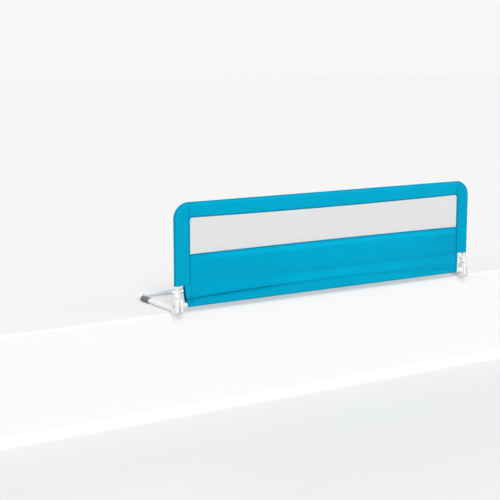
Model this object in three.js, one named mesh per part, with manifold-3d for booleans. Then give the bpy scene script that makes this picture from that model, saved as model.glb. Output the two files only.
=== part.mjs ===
// Folding guard rail, in millimetres, +Z up.
// +X runs along the rail, +Y points back over its base and -Y to its front.
// Pieces are drawn with the rail in the plane y = 0 and its floor line at z = 0.
// Pieces of one end are drawn about the axis of that end's upright tube, with +x
// pointing to the middle of the rail, and the right end mirrors the left one.

import * as THREE from 'three';
import { mergeVertices } from 'three/addons/utils/BufferGeometryUtils.js';
import Module from 'manifold-3d';

const wasm = await Module();
wasm.setup();

// Overall sizes
const railLength = 1500;
const railHeight = 436;
const baseDepth = 350;
const borderWidth = 60;
const windowHeight = 147;
const sleeveEndHeight = 111;

// Clearances
const fit = 0.3;
const overrun = 1;
const pivotPlay = 1.2;

// Faceting
const tubeSides = 12;
const roundSides = 16;
const smallSides = 10;
const bendSteps = 7;
const cornerSteps = 5;

// Steel tubes
const tubeRadius = 9.5;
const tubeWall = 1.2;
const tubeBore = tubeRadius - tubeWall;
const windowCorner = 5;
const baseBendRadius = 55;
const centreTubeLength = 840;
const rearTubeLength = 760;
const plugLength = 60;
const taperLength = 3;
const plugRadius = tubeBore - fit;
const plugBore = plugRadius - tubeWall;
const crossTubeRadius = 8;
const crossTubeWall = 1;
const crossTubeBore = crossTubeRadius - crossTubeWall;

// Fabric cover
const clothThickness = 1;
const sleeveEase = 0.7;
const pocketRadius = tubeRadius + sleeveEase;
const sleeveRadius = pocketRadius + clothThickness;
const seamHalfThickness = 1.2;
const seamWidth = 8;
const pocketTipHalf = 0.35;
const topBendRadius = borderWidth - sleeveRadius + windowCorner;
const uprightX = railLength / 2 - sleeveRadius;
const topTubeHeight = railHeight - sleeveRadius;

// Hinge bracket, a fork with two cheeks
const bracket = {
  width: 32,
  slot: 9,
  pivotHeight: 31.5,
  footHalfLength: 5.6,
  front: 24.5,
  back: 17,
  heel: 9,
  top: 62,
  frontCorner: 18,
  backCorner: 8,
  web: 4,
  notchWidth: 10,
  notchDepth: 4,
};
const pivotHeight = bracket.pivotHeight;
const bracketRadius = Math.hypot(pivotHeight, bracket.footHalfLength);
const bracketReach = Math.max(
  bracketRadius,
  bracket.frontCorner
    + Math.hypot(bracket.front - bracket.frontCorner, bracket.top - bracket.frontCorner - pivotHeight),
  Math.hypot(bracket.back - bracket.backCorner, bracket.top - pivotHeight),
);

// Socket of the bracket for the base arm, and its boss for the cross tube
const armSocketWall = 2.2;
const armSocketLength = 23;
const armSocketFloor = 1;
const armSocketRadius = tubeRadius + fit + armSocketWall;
const armHeight = armSocketRadius;
const heelRise = 2;
const heelDrop = 7;
const heelTop = 2 * armHeight + heelRise;
const bossWall = 2;
const bossLength = 26;
const bossFloor = 1;
const bossRadius = crossTubeRadius + fit + bossWall;
const bossRootExtra = 3;
const bossRootRadius = bossRadius + bossRootExtra;
const bossRootTaper = 9;

// Pivot bolt and nut
const boltRadius = 3;
const boltHeadRadius = 6;
const boltHeadHeight = 3.5;
const boltHeadSink = 0.7;
const boltDriveRadius = 2.6;
const boltDriveDepth = 1.8;
const boltEnd = 1.5;
const nutRadius = 5.8;
const nutThickness = 5;
const tubeSetback = 2;

// Upper knuckle
const neckRadius = 15;
const neckHeight = 17.5;
const neckFloor = 3;
const tongueThickness = bracket.slot - 2 * fit;
const tongueRadius = bracket.back - bracket.web - 2 * fit;
const neckBottom = pivotHeight + bracketReach + pivotPlay;
const neckTop = neckBottom + neckHeight;
const uprightBottom = neckBottom + neckFloor + fit;

// Release collar with two finger wings and two latch legs
const collar = {
  height: 9,
  span: 61,
  wingDepth: 16,
  wingTip: 2.6,
  wingRoot: 13,
  wingRise: 1.6,
  legThickness: 2.8,
  legWidth: 4,
  legOffset: 2.2,
  legPlay: 0.5,
  travel: 7,
};
const grooveWidth = 9;
const grooveWall = 1.8;
const grooveFloor = tubeRadius + fit + grooveWall;
const collarBottom = neckTop + fit;
const collarTop = collarBottom + collar.height;
const releasePinRadius = 1.6;
const releasePinInset = 0.6;
const releasePinHeight = collarBottom + collar.height / 2;
const plungerBelow = 5;
const plungerAbove = 3.5;
const springRadius = 6.6;
const springWire = 0.7;
const springTurns = 6;
const springTurnSteps = 8;
const springSides = 5;
const springSeatHeight = 114;
const springSeatThickness = 4;

// Screws
const screwRadius = 1.6;
const screwHeadRadius = 3.4;
const screwHeadHeight = 2;
const screwSink = 0.4;
const screwGrip = 2.5;
const neckScrewHeight = neckBottom + neckHeight / 2;
const armScrewSetback = 9;

// Snap buttons and their spring clips
const buttonRadius = 3;
const buttonProud = 2;
const buttonDome = 0.8;
const buttonSetback = 25;
const buttonFlangeRadius = 4.2;
const buttonFlangeThickness = 1.2;
const clipWidth = 5;
const clipStrip = 0.8;
const clipLength = 16;
const clipBendSteps = 6;

// Grip sleeves on the base arms
const gripWall = armSocketRadius - tubeRadius - fit;
const gripLength = 60;
const gripSetback = 8;

// Hem of the cover around the cross tube, lower panel and net
const hemEase = 0.5;
const hemHeight = 45;
const hemEndInset = 64.8;
const sleeveFootInset = 47;
const panelHalfThickness = 0.8;
const panelTop = railHeight - borderWidth - windowHeight;
const hemPocketRadius = crossTubeRadius + hemEase;
const hemRadius = hemPocketRadius + clothThickness;
const hemTop = pivotHeight - hemRadius + hemHeight;
const foldDepth = 2.4;
const foldPitch = 58;
const foldSway = 310;
const foldSwayShare = 0.9;
const panelColumns = 36;
const panelRows = 7;
const netColumns = 36;
const netRows = 5;
const netStrand = 2;
const netThickness = 1.2;
const netBinding = 4;

// Directions and section frames: across x up points forward
const X = new THREE.Vector3(1, 0, 0);
const Y = new THREE.Vector3(0, 1, 0);
const Z = new THREE.Vector3(0, 0, 1);
const alongX = { across: Y, up: Z, forward: X };
const alongY = { across: Z, up: X, forward: Y };
const alongZ = { across: X, up: Y, forward: Z };
const downZ = { across: Y, up: X, forward: Z.clone().negate() };
const againstY = { across: X, up: Z, forward: Y.clone().negate() };

const point = (x, y, z) => new THREE.Vector3(x, y, z);
const blend = (from, to, share) => from + (to - from) * share;

// A regular polygon with its corners on the circle, or its flats where outside is true.
function circle(radius, sides = roundSides, outside = false) {
  const corner = outside ? radius / Math.cos(Math.PI / sides) : radius;
  return Array.from({ length: sides }, (_, i) => {
    const angle = ((i + 0.5) * 2 * Math.PI) / sides;
    return [corner * Math.cos(angle), corner * Math.sin(angle)];
  });
}

// Closed body through stations { at, across, up, outline, bore }, bore only on a hollow one.
function sweep(stations) {
  const positions = [];
  const triangles = [];
  const count = stations[0].outline.length;
  const hollow = Boolean(stations[0].bore);
  const addRing = (station, loop) => {
    for (const [u, v] of loop) {
      const place = station.at.clone().addScaledVector(station.across, u).addScaledVector(station.up, v);
      positions.push(place.x, place.y, place.z);
    }
  };
  const quad = (a, b, c, d) => triangles.push(a, b, c, a, c, d);
  stations.forEach((station) => addRing(station, station.outline));
  if (hollow) {
    stations.forEach((station) => addRing(station, station.bore));
  }
  const last = stations.length - 1;
  const outer = (ring, j) => ring * count + (j % count);
  const inner = (ring, j) => (stations.length + ring) * count + (j % count);
  for (let ring = 0; ring < last; ring += 1) {
    for (let j = 0; j < count; j += 1) {
      quad(outer(ring, j), outer(ring, j + 1), outer(ring + 1, j + 1), outer(ring + 1, j));
      if (hollow) {
        quad(inner(ring, j), inner(ring + 1, j), inner(ring + 1, j + 1), inner(ring, j + 1));
      }
    }
  }
  if (hollow) {
    for (let j = 0; j < count; j += 1) {
      quad(outer(0, j), inner(0, j), inner(0, j + 1), outer(0, j + 1));
      quad(outer(last, j), outer(last, j + 1), inner(last, j + 1), inner(last, j));
    }
  } else {
    const contour = stations[0].outline.map(([u, v]) => new THREE.Vector2(u, v));
    for (const [a, b, c] of THREE.ShapeUtils.triangulateShape(contour, [])) {
      triangles.push(outer(0, a), outer(0, c), outer(0, b));
      triangles.push(outer(last, a), outer(last, b), outer(last, c));
    }
  }
  const geometry = new THREE.BufferGeometry();
  geometry.setAttribute('position', new THREE.Float32BufferAttribute(positions, 3));
  geometry.setIndex(triangles);
  return geometry;
}

// A turned body: profile rows are [distance along the frame, radius, bore radius].
function turned(frame, origin, profile, sides = roundSides, outside = false) {
  return sweep(profile.map(([distance, radius, bore]) => ({
    at: origin.clone().addScaledVector(frame.forward, distance),
    across: frame.across,
    up: frame.up,
    outline: circle(radius, sides, outside),
    bore: bore ? circle(bore, sides, true) : undefined,
  })));
}

function rod(frame, origin, length, radius, sides = roundSides) {
  return turned(frame, origin, [[0, radius], [length, radius]], sides);
}

// A round hole to be cut: its flats lie on the stated radius.
function hole(frame, origin, length, radius, sides = roundSides) {
  return turned(frame, origin, [[0, radius], [length, radius]], sides, true);
}

function box(low, high) {
  const size = high.clone().sub(low);
  const geometry = new THREE.BoxGeometry(size.x, size.y, size.z);
  return geometry.translate((low.x + high.x) / 2, (low.y + high.y) / 2, (low.z + high.z) / 2);
}

// An outline drawn in (y, z) and extruded along x.
function plateAlongX(shape, low, high, curveSegments = cornerSteps) {
  const geometry = new THREE.ExtrudeGeometry(shape, {
    depth: high - low,
    bevelEnabled: false,
    curveSegments,
  });
  geometry.applyMatrix4(new THREE.Matrix4().makeBasis(Y, Z, X));
  return geometry.translate(low, 0, 0);
}

// An outline drawn in (x, z) and extruded along y.
function plateAlongY(shape, low, high, curveSegments = cornerSteps) {
  const geometry = new THREE.ExtrudeGeometry(shape, {
    depth: high - low,
    bevelEnabled: false,
    curveSegments,
  });
  geometry.applyMatrix4(new THREE.Matrix4().makeBasis(X, Z, Y.clone().negate()));
  return geometry.translate(0, high, 0);
}

function solid(geometry) {
  const bare = geometry.clone();
  bare.deleteAttribute('normal');
  bare.deleteAttribute('uv');
  const merged = mergeVertices(bare);
  return new wasm.Manifold(new wasm.Mesh({
    numProp: 3,
    vertProperties: new Float32Array(merged.attributes.position.array),
    triVerts: new Uint32Array(merged.index.array),
  }));
}

function geometryOf(manifold) {
  const mesh = manifold.getMesh();
  const geometry = new THREE.BufferGeometry();
  geometry.setAttribute('position', new THREE.Float32BufferAttribute(mesh.vertProperties, 3));
  geometry.setIndex(Array.from(mesh.triVerts));
  return geometry;
}

// Joins the first list of geometries and cuts the second list from the result.
function carve(joined, removed) {
  let body = solid(joined[0]);
  joined.slice(1).forEach((geometry) => {
    body = body.add(solid(geometry));
  });
  removed.forEach((geometry) => {
    body = body.subtract(solid(geometry));
  });
  return geometryOf(body);
}

// Stations of a path in one plane that turns once, with the bend's steps.
function bentPath(start, corner, end, radius) {
  const before = corner.clone().sub(start).normalize();
  const after = end.clone().sub(corner).normalize();
  const angle = before.angleTo(after);
  const normal = before.clone().cross(after).normalize();
  const towards = normal.clone().cross(before);
  const centre = corner.clone()
    .addScaledVector(before, -radius * Math.tan(angle / 2))
    .addScaledVector(towards, radius);
  const station = (at, forward) => ({ at, across: forward.clone().cross(normal).negate(), up: normal, forward });
  const stations = [station(start, before)];
  for (let step = 0; step <= bendSteps; step += 1) {
    const turn = (angle * step) / bendSteps;
    const at = centre.clone()
      .addScaledVector(towards, -radius * Math.cos(turn))
      .addScaledVector(before, radius * Math.sin(turn));
    const forward = before.clone().multiplyScalar(Math.cos(turn)).addScaledVector(towards, Math.sin(turn));
    stations.push(station(at, forward));
  }
  stations.push(station(end, after));
  return stations;
}

// A tube along stations whose last one starts a taper to a thinner plug.
function pluggedTube(path) {
  const last = path[path.length - 1];
  const beyond = (distance) => ({ ...last, at: last.at.clone().addScaledVector(last.forward, distance) });
  const full = path.map((station) => ({ station, radius: tubeRadius, bore: tubeBore }));
  const plug = [taperLength, taperLength + fit + plugLength].map((distance) => ({
    station: beyond(distance),
    radius: plugRadius,
    bore: plugBore,
  }));
  return sweep([...full, ...plug].map(({ station, radius, bore }) => ({
    ...station,
    outline: circle(radius, tubeSides),
    bore: circle(bore, tubeSides, true),
  })));
}

const materials = {
  fabric: new THREE.MeshStandardMaterial({ color: 0x03a3c9, roughness: 0.85, metalness: 0 }),
  net: new THREE.MeshStandardMaterial({ color: 0xdfe3e4, roughness: 0.8, metalness: 0 }),
  whiteTube: new THREE.MeshStandardMaterial({ color: 0xeef0ef, roughness: 0.35, metalness: 0 }),
  whitePlastic: new THREE.MeshStandardMaterial({ color: 0xe6e8e8, roughness: 0.45, metalness: 0 }),
  rubber: new THREE.MeshStandardMaterial({ color: 0x8c9093, roughness: 0.9, metalness: 0 }),
  steel: new THREE.MeshStandardMaterial({ color: 0xb4b6b8, roughness: 0.35, metalness: 1 }),
};

// Outline of the bracket's cheeks, seen along the pivot: (y, z).
function cheekShape() {
  const { front, back, heel, top, frontCorner, backCorner, footHalfLength } = bracket;
  const chinHeight = pivotHeight - Math.sqrt(bracketRadius ** 2 - front ** 2);
  const chinAngle = Math.atan2(chinHeight - pivotHeight, -front);
  const footAngle = Math.atan2(-pivotHeight, -footHalfLength);
  const shape = new THREE.Shape();
  shape.moveTo(back + heel, 0);
  shape.lineTo(back + heel, heelTop - heelDrop);
  shape.lineTo(back, heelTop);
  shape.lineTo(back, top - backCorner);
  shape.absarc(back - backCorner, top - backCorner, backCorner, 0, Math.PI / 2, false);
  shape.lineTo(frontCorner - front, top);
  shape.absarc(frontCorner - front, top - frontCorner, frontCorner, Math.PI / 2, Math.PI, false);
  shape.lineTo(-front, chinHeight);
  shape.absarc(0, pivotHeight, bracketRadius, chinAngle, footAngle, false);
  return shape;
}

function makeBracket() {
  const { width, slot, back, front, top, web, notchWidth, notchDepth } = bracket;
  const half = width / 2;
  const webFront = back - web;
  const socketEnd = back + armSocketLength;
  const boltSeat = boltHeadHeight + boltHeadSink;
  const pivot = point(-half - overrun, 0, pivotHeight);
  return carve([
    plateAlongX(cheekShape(), -half, half),
    turned(alongY, point(0, webFront, armHeight),
      [[0, armSocketRadius], [socketEnd - webFront, armSocketRadius]], roundSides, true),
    turned(alongX, point(slot, 0, pivotHeight), [[0, bossRootRadius], [half - slot, bossRootRadius],
      [half - slot + bossRootTaper, bossRadius], [half - slot + bossLength, bossRadius]]),
  ], [
    box(point(-slot / 2, -front - overrun, -overrun), point(slot / 2, webFront, top + overrun)),
    hole(alongY, point(0, back + armSocketFloor, armHeight), armSocketLength + overrun, tubeRadius + fit),
    hole(alongX, point(half + bossFloor, 0, pivotHeight), bossLength + overrun, crossTubeRadius + fit),
    hole(alongX, pivot, width + bossFloor + 2 * overrun, boltRadius + fit, smallSides),
    hole(alongX, pivot, overrun + boltSeat, boltHeadRadius + fit),
    ...[-1, 1].map((side) => box(
      point(side * half - slot / 2, -notchWidth / 2, top - notchDepth),
      point(side * half + slot / 2, notchWidth / 2, top + overrun),
    )),
    hole(downZ, point(0, socketEnd - armScrewSetback, 2 * armHeight + overrun),
      overrun + screwHeadHeight + screwSink, screwHeadRadius + fit, smallSides),
    hole(downZ, point(0, socketEnd - armScrewSetback, 2 * armHeight + overrun),
      overrun + armHeight, screwRadius + fit, smallSides),
  ]);
}

function makeKnuckle() {
  const shape = new THREE.Shape();
  shape.moveTo(tongueRadius, pivotHeight);
  shape.lineTo(tongueRadius, neckBottom + neckFloor / 2);
  shape.lineTo(-tongueRadius, neckBottom + neckFloor / 2);
  shape.lineTo(-tongueRadius, pivotHeight);
  shape.absarc(0, pivotHeight, tongueRadius, Math.PI, 2 * Math.PI, false);
  const halfTongue = tongueThickness / 2;
  const screwAt = point(0, neckRadius + overrun, neckScrewHeight);
  return carve([
    plateAlongX(shape, -halfTongue, halfTongue),
    rod(alongZ, point(0, 0, neckBottom), neckHeight, neckRadius),
  ], [
    hole(alongZ, point(0, 0, neckBottom + neckFloor), neckHeight, tubeRadius + fit),
    hole(alongX, point(-halfTongue - overrun, 0, pivotHeight), tongueThickness + 2 * overrun,
      boltRadius + fit, smallSides),
    ...[-1, 1].map((side) => box(
      point(Math.min(side * grooveFloor, side * (neckRadius + overrun)), -grooveWidth / 2, neckBottom - overrun),
      point(Math.max(side * grooveFloor, side * (neckRadius + overrun)), grooveWidth / 2, neckTop + overrun),
    )),
    hole(againstY, screwAt, overrun + screwHeadHeight + screwSink, screwHeadRadius + fit, smallSides),
    hole(againstY, screwAt, overrun + neckRadius - tubeBore, screwRadius + fit, smallSides),
  ]);
}

// Outline of the finger wings, seen along y: (x, z).
function wingShape() {
  const { span, wingTip, wingRoot, wingRise, height } = collar;
  const tip = span / 2;
  const tipLow = collarTop - wingTip;
  const bend = blend(wingRoot, tip, 1 / 2);
  const shape = new THREE.Shape();
  shape.moveTo(-wingRoot, collarBottom);
  shape.lineTo(wingRoot, collarBottom);
  shape.quadraticCurveTo(wingRoot, collarBottom + height / 2, tip, tipLow);
  shape.lineTo(tip, collarTop - wingTip / 2);
  shape.quadraticCurveTo(bend, collarTop - wingRise / 2, wingRoot, collarTop);
  shape.lineTo(-wingRoot, collarTop);
  shape.quadraticCurveTo(-bend, collarTop - wingRise / 2, -tip, collarTop - wingTip / 2);
  shape.lineTo(-tip, tipLow);
  shape.quadraticCurveTo(-wingRoot, collarBottom + height / 2, -wingRoot, collarBottom);
  return shape;
}

function makeCollar() {
  const { wingDepth, legThickness, legWidth, legOffset, legPlay, height } = collar;
  const legBottom = pivotHeight + bracketReach + legPlay;
  const legInner = grooveFloor + fit;
  const legOuter = legInner + legThickness;
  const legBack = legOffset + legWidth / 2;
  return carve([
    rod(alongZ, point(0, 0, collarBottom), height, neckRadius),
    plateAlongY(wingShape(), -wingDepth / 2, wingDepth / 2),
    ...[-1, 1].map((side) => box(
      point(Math.min(side * legInner, side * legOuter), legBack - legWidth, legBottom),
      point(Math.max(side * legInner, side * legOuter), legBack, collarBottom + overrun),
    )),
  ], [
    hole(alongZ, point(0, 0, collarBottom - overrun), height + 2 * overrun, tubeRadius + fit),
    hole(alongX, point(-neckRadius - overrun, 0, releasePinHeight), 2 * (neckRadius + overrun),
      releasePinRadius + fit, smallSides),
  ]);
}

function makePlunger() {
  return carve([
    rod(alongZ, point(0, 0, releasePinHeight - plungerBelow), plungerBelow + plungerAbove, plugRadius),
  ], [
    hole(alongX, point(-tubeRadius, 0, releasePinHeight), 2 * tubeRadius, releasePinRadius + fit, smallSides),
  ]);
}

function makeReleasePin() {
  const half = neckRadius - releasePinInset;
  return rod(alongX, point(-half, 0, releasePinHeight), 2 * half, releasePinRadius, smallSides);
}

const springLow = releasePinHeight + plungerAbove + fit + springWire;
const springHigh = springSeatHeight - fit - springWire;
const springPitch = (springHigh - springLow) / springTurns;

// Stations of the open coil spring about the upright's axis.
function springPath() {
  const steps = springTurns * springTurnSteps;
  return Array.from({ length: steps + 1 }, (_, step) => {
    const angle = (2 * Math.PI * step) / springTurnSteps;
    const outwards = point(Math.cos(angle), Math.sin(angle), 0);
    const rise = springPitch / (2 * Math.PI * springRadius);
    const forward = point(-Math.sin(angle), Math.cos(angle), rise).normalize();
    return {
      at: outwards.clone().multiplyScalar(springRadius).setZ(blend(springLow, springHigh, step / steps)),
      across: outwards,
      up: forward.clone().cross(outwards),
      outline: circle(springWire, springSides),
    };
  });
}

// Least free distance of a coil to itself, between stations over half a turn apart.
function leastGap(stations) {
  let least = Infinity;
  stations.forEach((station, i) => {
    stations.slice(i + springTurnSteps / 2 + 1).forEach((other) => {
      least = Math.min(least, station.at.distanceTo(other.at));
    });
  });
  return least - 2 * springWire;
}

function makeSpringSeat() {
  return rod(alongZ, point(0, 0, springSeatHeight), springSeatThickness, plugRadius);
}

const topJoint = uprightX - centreTubeLength / 2;
const rearJoint = uprightX - rearTubeLength / 2;

// Upright, top corner and the stretch of top tube up to the joint.
function makeCornerTube() {
  const path = bentPath(
    point(0, 0, uprightBottom),
    point(0, 0, topTubeHeight),
    point(topJoint - fit - taperLength, 0, topTubeHeight),
    topBendRadius,
  );
  const slotHalf = releasePinRadius + fit;
  return carve([pluggedTube(path)], [
    box(
      point(-tubeRadius - overrun, -slotHalf, releasePinHeight - slotHalf),
      point(tubeRadius + overrun, slotHalf, releasePinHeight + collar.travel + slotHalf),
    ),
    hole(againstY, point(0, tubeRadius + overrun, neckScrewHeight), overrun + 2 * tubeWall,
      screwRadius + fit, smallSides),
    hole(downZ, point(topJoint + buttonSetback, 0, topTubeHeight), tubeRadius, buttonRadius + fit, smallSides),
  ]);
}

function makeBaseArm() {
  const socketEnd = bracket.back + armSocketLength;
  const path = bentPath(
    point(0, bracket.back + armSocketFloor + fit, armHeight),
    point(0, baseDepth, armHeight),
    point(rearJoint - fit - taperLength, baseDepth, armHeight),
    baseBendRadius,
  );
  return carve([pluggedTube(path)], [
    hole(downZ, point(0, socketEnd - armScrewSetback, armHeight + tubeRadius + overrun),
      overrun + 2 * tubeWall, screwRadius + fit, smallSides),
    hole(alongZ, point(rearJoint + buttonSetback, baseDepth, armHeight), tubeRadius, buttonRadius + fit,
      smallSides),
  ]);
}

// A straight tube along x that takes a plug and a snap button in each end.
function makeStraightTube(length, depth, height, buttonFrame) {
  const half = length / 2;
  const centre = point(-half, depth, height);
  return carve([
    turned(alongX, centre, [[0, tubeRadius, tubeBore], [length, tubeRadius, tubeBore]], tubeSides),
  ], [-1, 1].map((side) => hole(
    buttonFrame,
    point(side * (half - buttonSetback), depth, height),
    tubeRadius + overrun,
    buttonRadius + fit,
    smallSides,
  )));
}

// A snap button about its tube's axis: flange under the plug's wall, pin through both walls.
function makeButton(frame, centre, outerRadius, bore) {
  const flangeTop = Math.sqrt(bore ** 2 - buttonFlangeRadius ** 2) - fit;
  const tip = outerRadius + buttonProud;
  return turned(frame, centre, [
    [flangeTop - buttonFlangeThickness, buttonFlangeRadius],
    [flangeTop, buttonFlangeRadius],
    [flangeTop, buttonRadius],
    [tip - buttonDome, buttonRadius],
    [tip, buttonRadius - buttonDome],
  ], smallSides);
}

// The U-shaped strip that pushes a snap button out, bent in the plane of x and the frame.
function makeClip(frame, centre, bore, towards) {
  const flangeTop = Math.sqrt(bore ** 2 - buttonFlangeRadius ** 2) - fit;
  const high = flangeTop - buttonFlangeThickness - fit - clipStrip / 2;
  const low = -(Math.sqrt(bore ** 2 - (clipWidth / 2) ** 2) - fit - clipStrip / 2);
  const middle = (high + low) / 2;
  const bend = (high - low) / 2;
  const free = buttonFlangeRadius;
  const upward = frame.forward;
  const away = X.clone().multiplyScalar(-towards);
  const side = away.clone().cross(upward);
  const place = (distance, height) => centre.clone().addScaledVector(away, distance).addScaledVector(upward, height);
  const strip = [[-clipStrip / 2, -clipWidth / 2], [clipStrip / 2, -clipWidth / 2],
    [clipStrip / 2, clipWidth / 2], [-clipStrip / 2, clipWidth / 2]];
  const stationAt = (at, forward) => ({ at, across: side.clone().cross(forward), up: side, outline: strip });
  const stations = [stationAt(place(-free, high), away)];
  for (let step = 0; step <= clipBendSteps; step += 1) {
    const turn = (Math.PI * step) / clipBendSteps;
    stations.push(stationAt(
      place(clipLength + bend * Math.sin(turn), middle + bend * Math.cos(turn)),
      away.clone().multiplyScalar(Math.cos(turn)).addScaledVector(upward, -Math.sin(turn)),
    ));
  }
  stations.push(stationAt(place(-free, low), away.clone().negate()));
  return sweep(stations);
}

function makeBolt() {
  const half = bracket.width / 2;
  const headFace = -half + boltHeadSink;
  const shank = half + bossFloor + fit + nutThickness + boltEnd - headFace;
  return carve([
    turned(alongX, point(headFace, 0, pivotHeight), [
      [0, boltHeadRadius],
      [boltHeadHeight - fit, boltHeadRadius],
      [boltHeadHeight - fit, boltRadius],
      [shank, boltRadius],
    ]),
  ], [
    hole(alongX, point(headFace - overrun, 0, pivotHeight), overrun + boltDriveDepth, boltDriveRadius, 6),
  ]);
}

function makeNut() {
  const start = bracket.width / 2 + bossFloor + fit;
  return carve([
    rod(alongX, point(start, 0, pivotHeight), nutThickness, nutRadius, 6),
  ], [
    hole(alongX, point(start - overrun, 0, pivotHeight), nutThickness + 2 * overrun, boltRadius + fit, smallSides),
  ]);
}

// A pan-head screw whose head is seated at a depth below the surface radius.
function makeScrew(frame, surface) {
  const headOuter = screwSink;
  return turned(frame, surface, [
    [headOuter, screwHeadRadius - screwSink],
    [headOuter + screwSink, screwHeadRadius],
    [screwHeadHeight + screwSink - fit, screwHeadRadius],
    [screwHeadHeight + screwSink - fit, screwRadius],
    [screwHeadHeight + screwSink + screwGrip, screwRadius],
  ], smallSides);
}

function makeGrip() {
  const start = baseDepth - baseBendRadius - gripSetback - gripLength;
  return turned(alongY, point(0, start, armHeight), [
    [0, tubeRadius + fit + gripWall, tubeRadius + fit],
    [gripLength, tubeRadius + fit + gripWall, tubeRadius + fit],
  ], roundSides, true);
}

const crossTubeInset = bracket.width / 2 + bossFloor + fit + nutThickness + boltEnd + tubeSetback;
const crossPlugRadius = crossTubeBore - fit;
const crossPlugBore = crossPlugRadius - crossTubeWall;

// The left half of the cross tube ends in a plug, and the right half takes it.
function makeCrossTubeLeft() {
  const start = -uprightX + crossTubeInset;
  return turned(alongX, point(start, 0, pivotHeight), [
    [0, crossTubeRadius, crossTubeBore],
    [-start - fit - taperLength, crossTubeRadius, crossTubeBore],
    [-start - fit, crossPlugRadius, crossPlugBore],
    [-start + plugLength, crossPlugRadius, crossPlugBore],
  ], tubeSides);
}

function makeCrossTubeRight() {
  const length = uprightX - crossTubeInset;
  return turned(alongX, point(0, 0, pivotHeight), [
    [0, crossTubeRadius, crossTubeBore],
    [length, crossTubeRadius, crossTubeBore],
  ], tubeSides);
}

// Section of a cloth pocket: half round over the tube, then tapering to its seam.
function teardrop(radius, reach, halfThickness) {
  const steps = cornerSteps + 3;
  const sideShares = [1 / 3, 2 / 3];
  const round = Array.from({ length: steps + 1 }, (_, i) => {
    const angle = Math.PI / 2 + (Math.PI * i) / steps;
    return [radius * Math.cos(angle), radius * Math.sin(angle)];
  });
  const taper = (side, shares) => shares.map((share) => [
    reach * share,
    side * blend(radius, halfThickness, share),
  ]);
  return [
    ...round,
    ...taper(-1, sideShares),
    [reach, -halfThickness],
    [reach, halfThickness],
    ...taper(1, [...sideShares].reverse()),
  ];
}

const borderReach = borderWidth - sleeveRadius;
const borderOutline = teardrop(sleeveRadius, borderReach, seamHalfThickness);
const borderPocket = teardrop(pocketRadius, borderReach - seamWidth, pocketTipHalf);

// Cover over one upright and its corner, up to the seam where the bend ends.
function makeSideSleeve() {
  const path = bentPath(
    point(0, 0, sleeveEndHeight),
    point(0, 0, topTubeHeight),
    point(topBendRadius, 0, topTubeHeight),
    topBendRadius,
  ).slice(0, -1);
  return sweep(path.map((station) => ({
    ...station,
    outline: borderOutline,
    bore: borderPocket,
  })));
}

function makeTopSleeve() {
  const half = uprightX - topBendRadius - fit;
  return sweep([-half, half].map((x) => ({
    at: point(x, 0, topTubeHeight),
    across: Z.clone().negate(),
    up: Y,
    outline: borderOutline,
    bore: borderPocket,
  })));
}

// How far the slanted foot of the cover lies from the rail's end at a height.
const footSlope = (sleeveFootInset - hemEndInset) / (sleeveEndHeight - fit - (pivotHeight - hemRadius));
const footInset = (height) => hemEndInset + footSlope * (height - pivotHeight + hemRadius);

// Hem pocket around the cross tube, with ends cut on the slant of the cover's foot.
function makeHem() {
  const reach = hemHeight - hemRadius;
  return sweep([-1, 1].map((side) => ({
    at: point(side * (railLength / 2 - footInset(pivotHeight)), 0, pivotHeight),
    across: Z.clone().addScaledVector(X, -side * footSlope),
    up: Y.clone().negate(),
    outline: teardrop(hemRadius, reach, panelHalfThickness),
    bore: teardrop(hemPocketRadius, reach - seamWidth, pocketTipHalf),
  })));
}

// Lower panel, one sheet with shallow folds that run along the rail.
function makePanel() {
  const low = hemTop + fit;
  const footTop = sleeveEndHeight - fit;
  const high = panelTop;
  const insetAbove = borderWidth + fit;
  const footRows = 3;
  const rows = [];
  for (let i = 0; i < footRows; i += 1) {
    const height = blend(low, footTop, i / (footRows - 1));
    rows.push([height, footInset(height)]);
  }
  for (let i = 0; i < panelRows; i += 1) {
    rows.push([blend(sleeveEndHeight, high, i / (panelRows - 1)), insetAbove]);
  }
  const fold = (x, z) => {
    const upShare = (z - low) / (high - low);
    const alongShare = 1 - (Math.abs(x) / (railLength / 2 - borderWidth)) ** 4;
    const fade = Math.sin(Math.PI * upShare) * Math.max(0, alongShare);
    const sway = foldSwayShare * Math.sin((2 * Math.PI * x) / foldSway);
    return foldDepth * fade * Math.sin((2 * Math.PI * (z - low)) / foldPitch + sway);
  };
  const columns = panelColumns + 1;
  const positions = [];
  const triangles = [];
  for (const side of [-1, 1]) {
    for (const [z, inset] of rows) {
      for (let i = 0; i < columns; i += 1) {
        const x = blend(inset - railLength / 2, railLength / 2 - inset, i / panelColumns);
        positions.push(x, fold(x, z) + side * panelHalfThickness, z);
      }
    }
  }
  const at = (back, row, column) => (back * rows.length + row) * columns + column;
  const quad = (a, b, c, d) => triangles.push(a, b, c, a, c, d);
  for (let row = 0; row < rows.length - 1; row += 1) {
    for (let column = 0; column < panelColumns; column += 1) {
      quad(at(0, row, column), at(0, row, column + 1), at(0, row + 1, column + 1), at(0, row + 1, column));
      quad(at(1, row, column), at(1, row + 1, column), at(1, row + 1, column + 1), at(1, row, column + 1));
    }
    quad(at(0, row, 0), at(0, row + 1, 0), at(1, row + 1, 0), at(1, row, 0));
    quad(at(0, row, panelColumns), at(1, row, panelColumns),
      at(1, row + 1, panelColumns), at(0, row + 1, panelColumns));
  }
  const top = rows.length - 1;
  for (let column = 0; column < panelColumns; column += 1) {
    quad(at(0, 0, column), at(1, 0, column), at(1, 0, column + 1), at(0, 0, column + 1));
    quad(at(0, top, column), at(0, top, column + 1), at(1, top, column + 1), at(1, top, column));
  }
  const geometry = new THREE.BufferGeometry();
  geometry.setAttribute('position', new THREE.Float32BufferAttribute(positions, 3));
  geometry.setIndex(triangles);
  return geometry;
}

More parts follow.
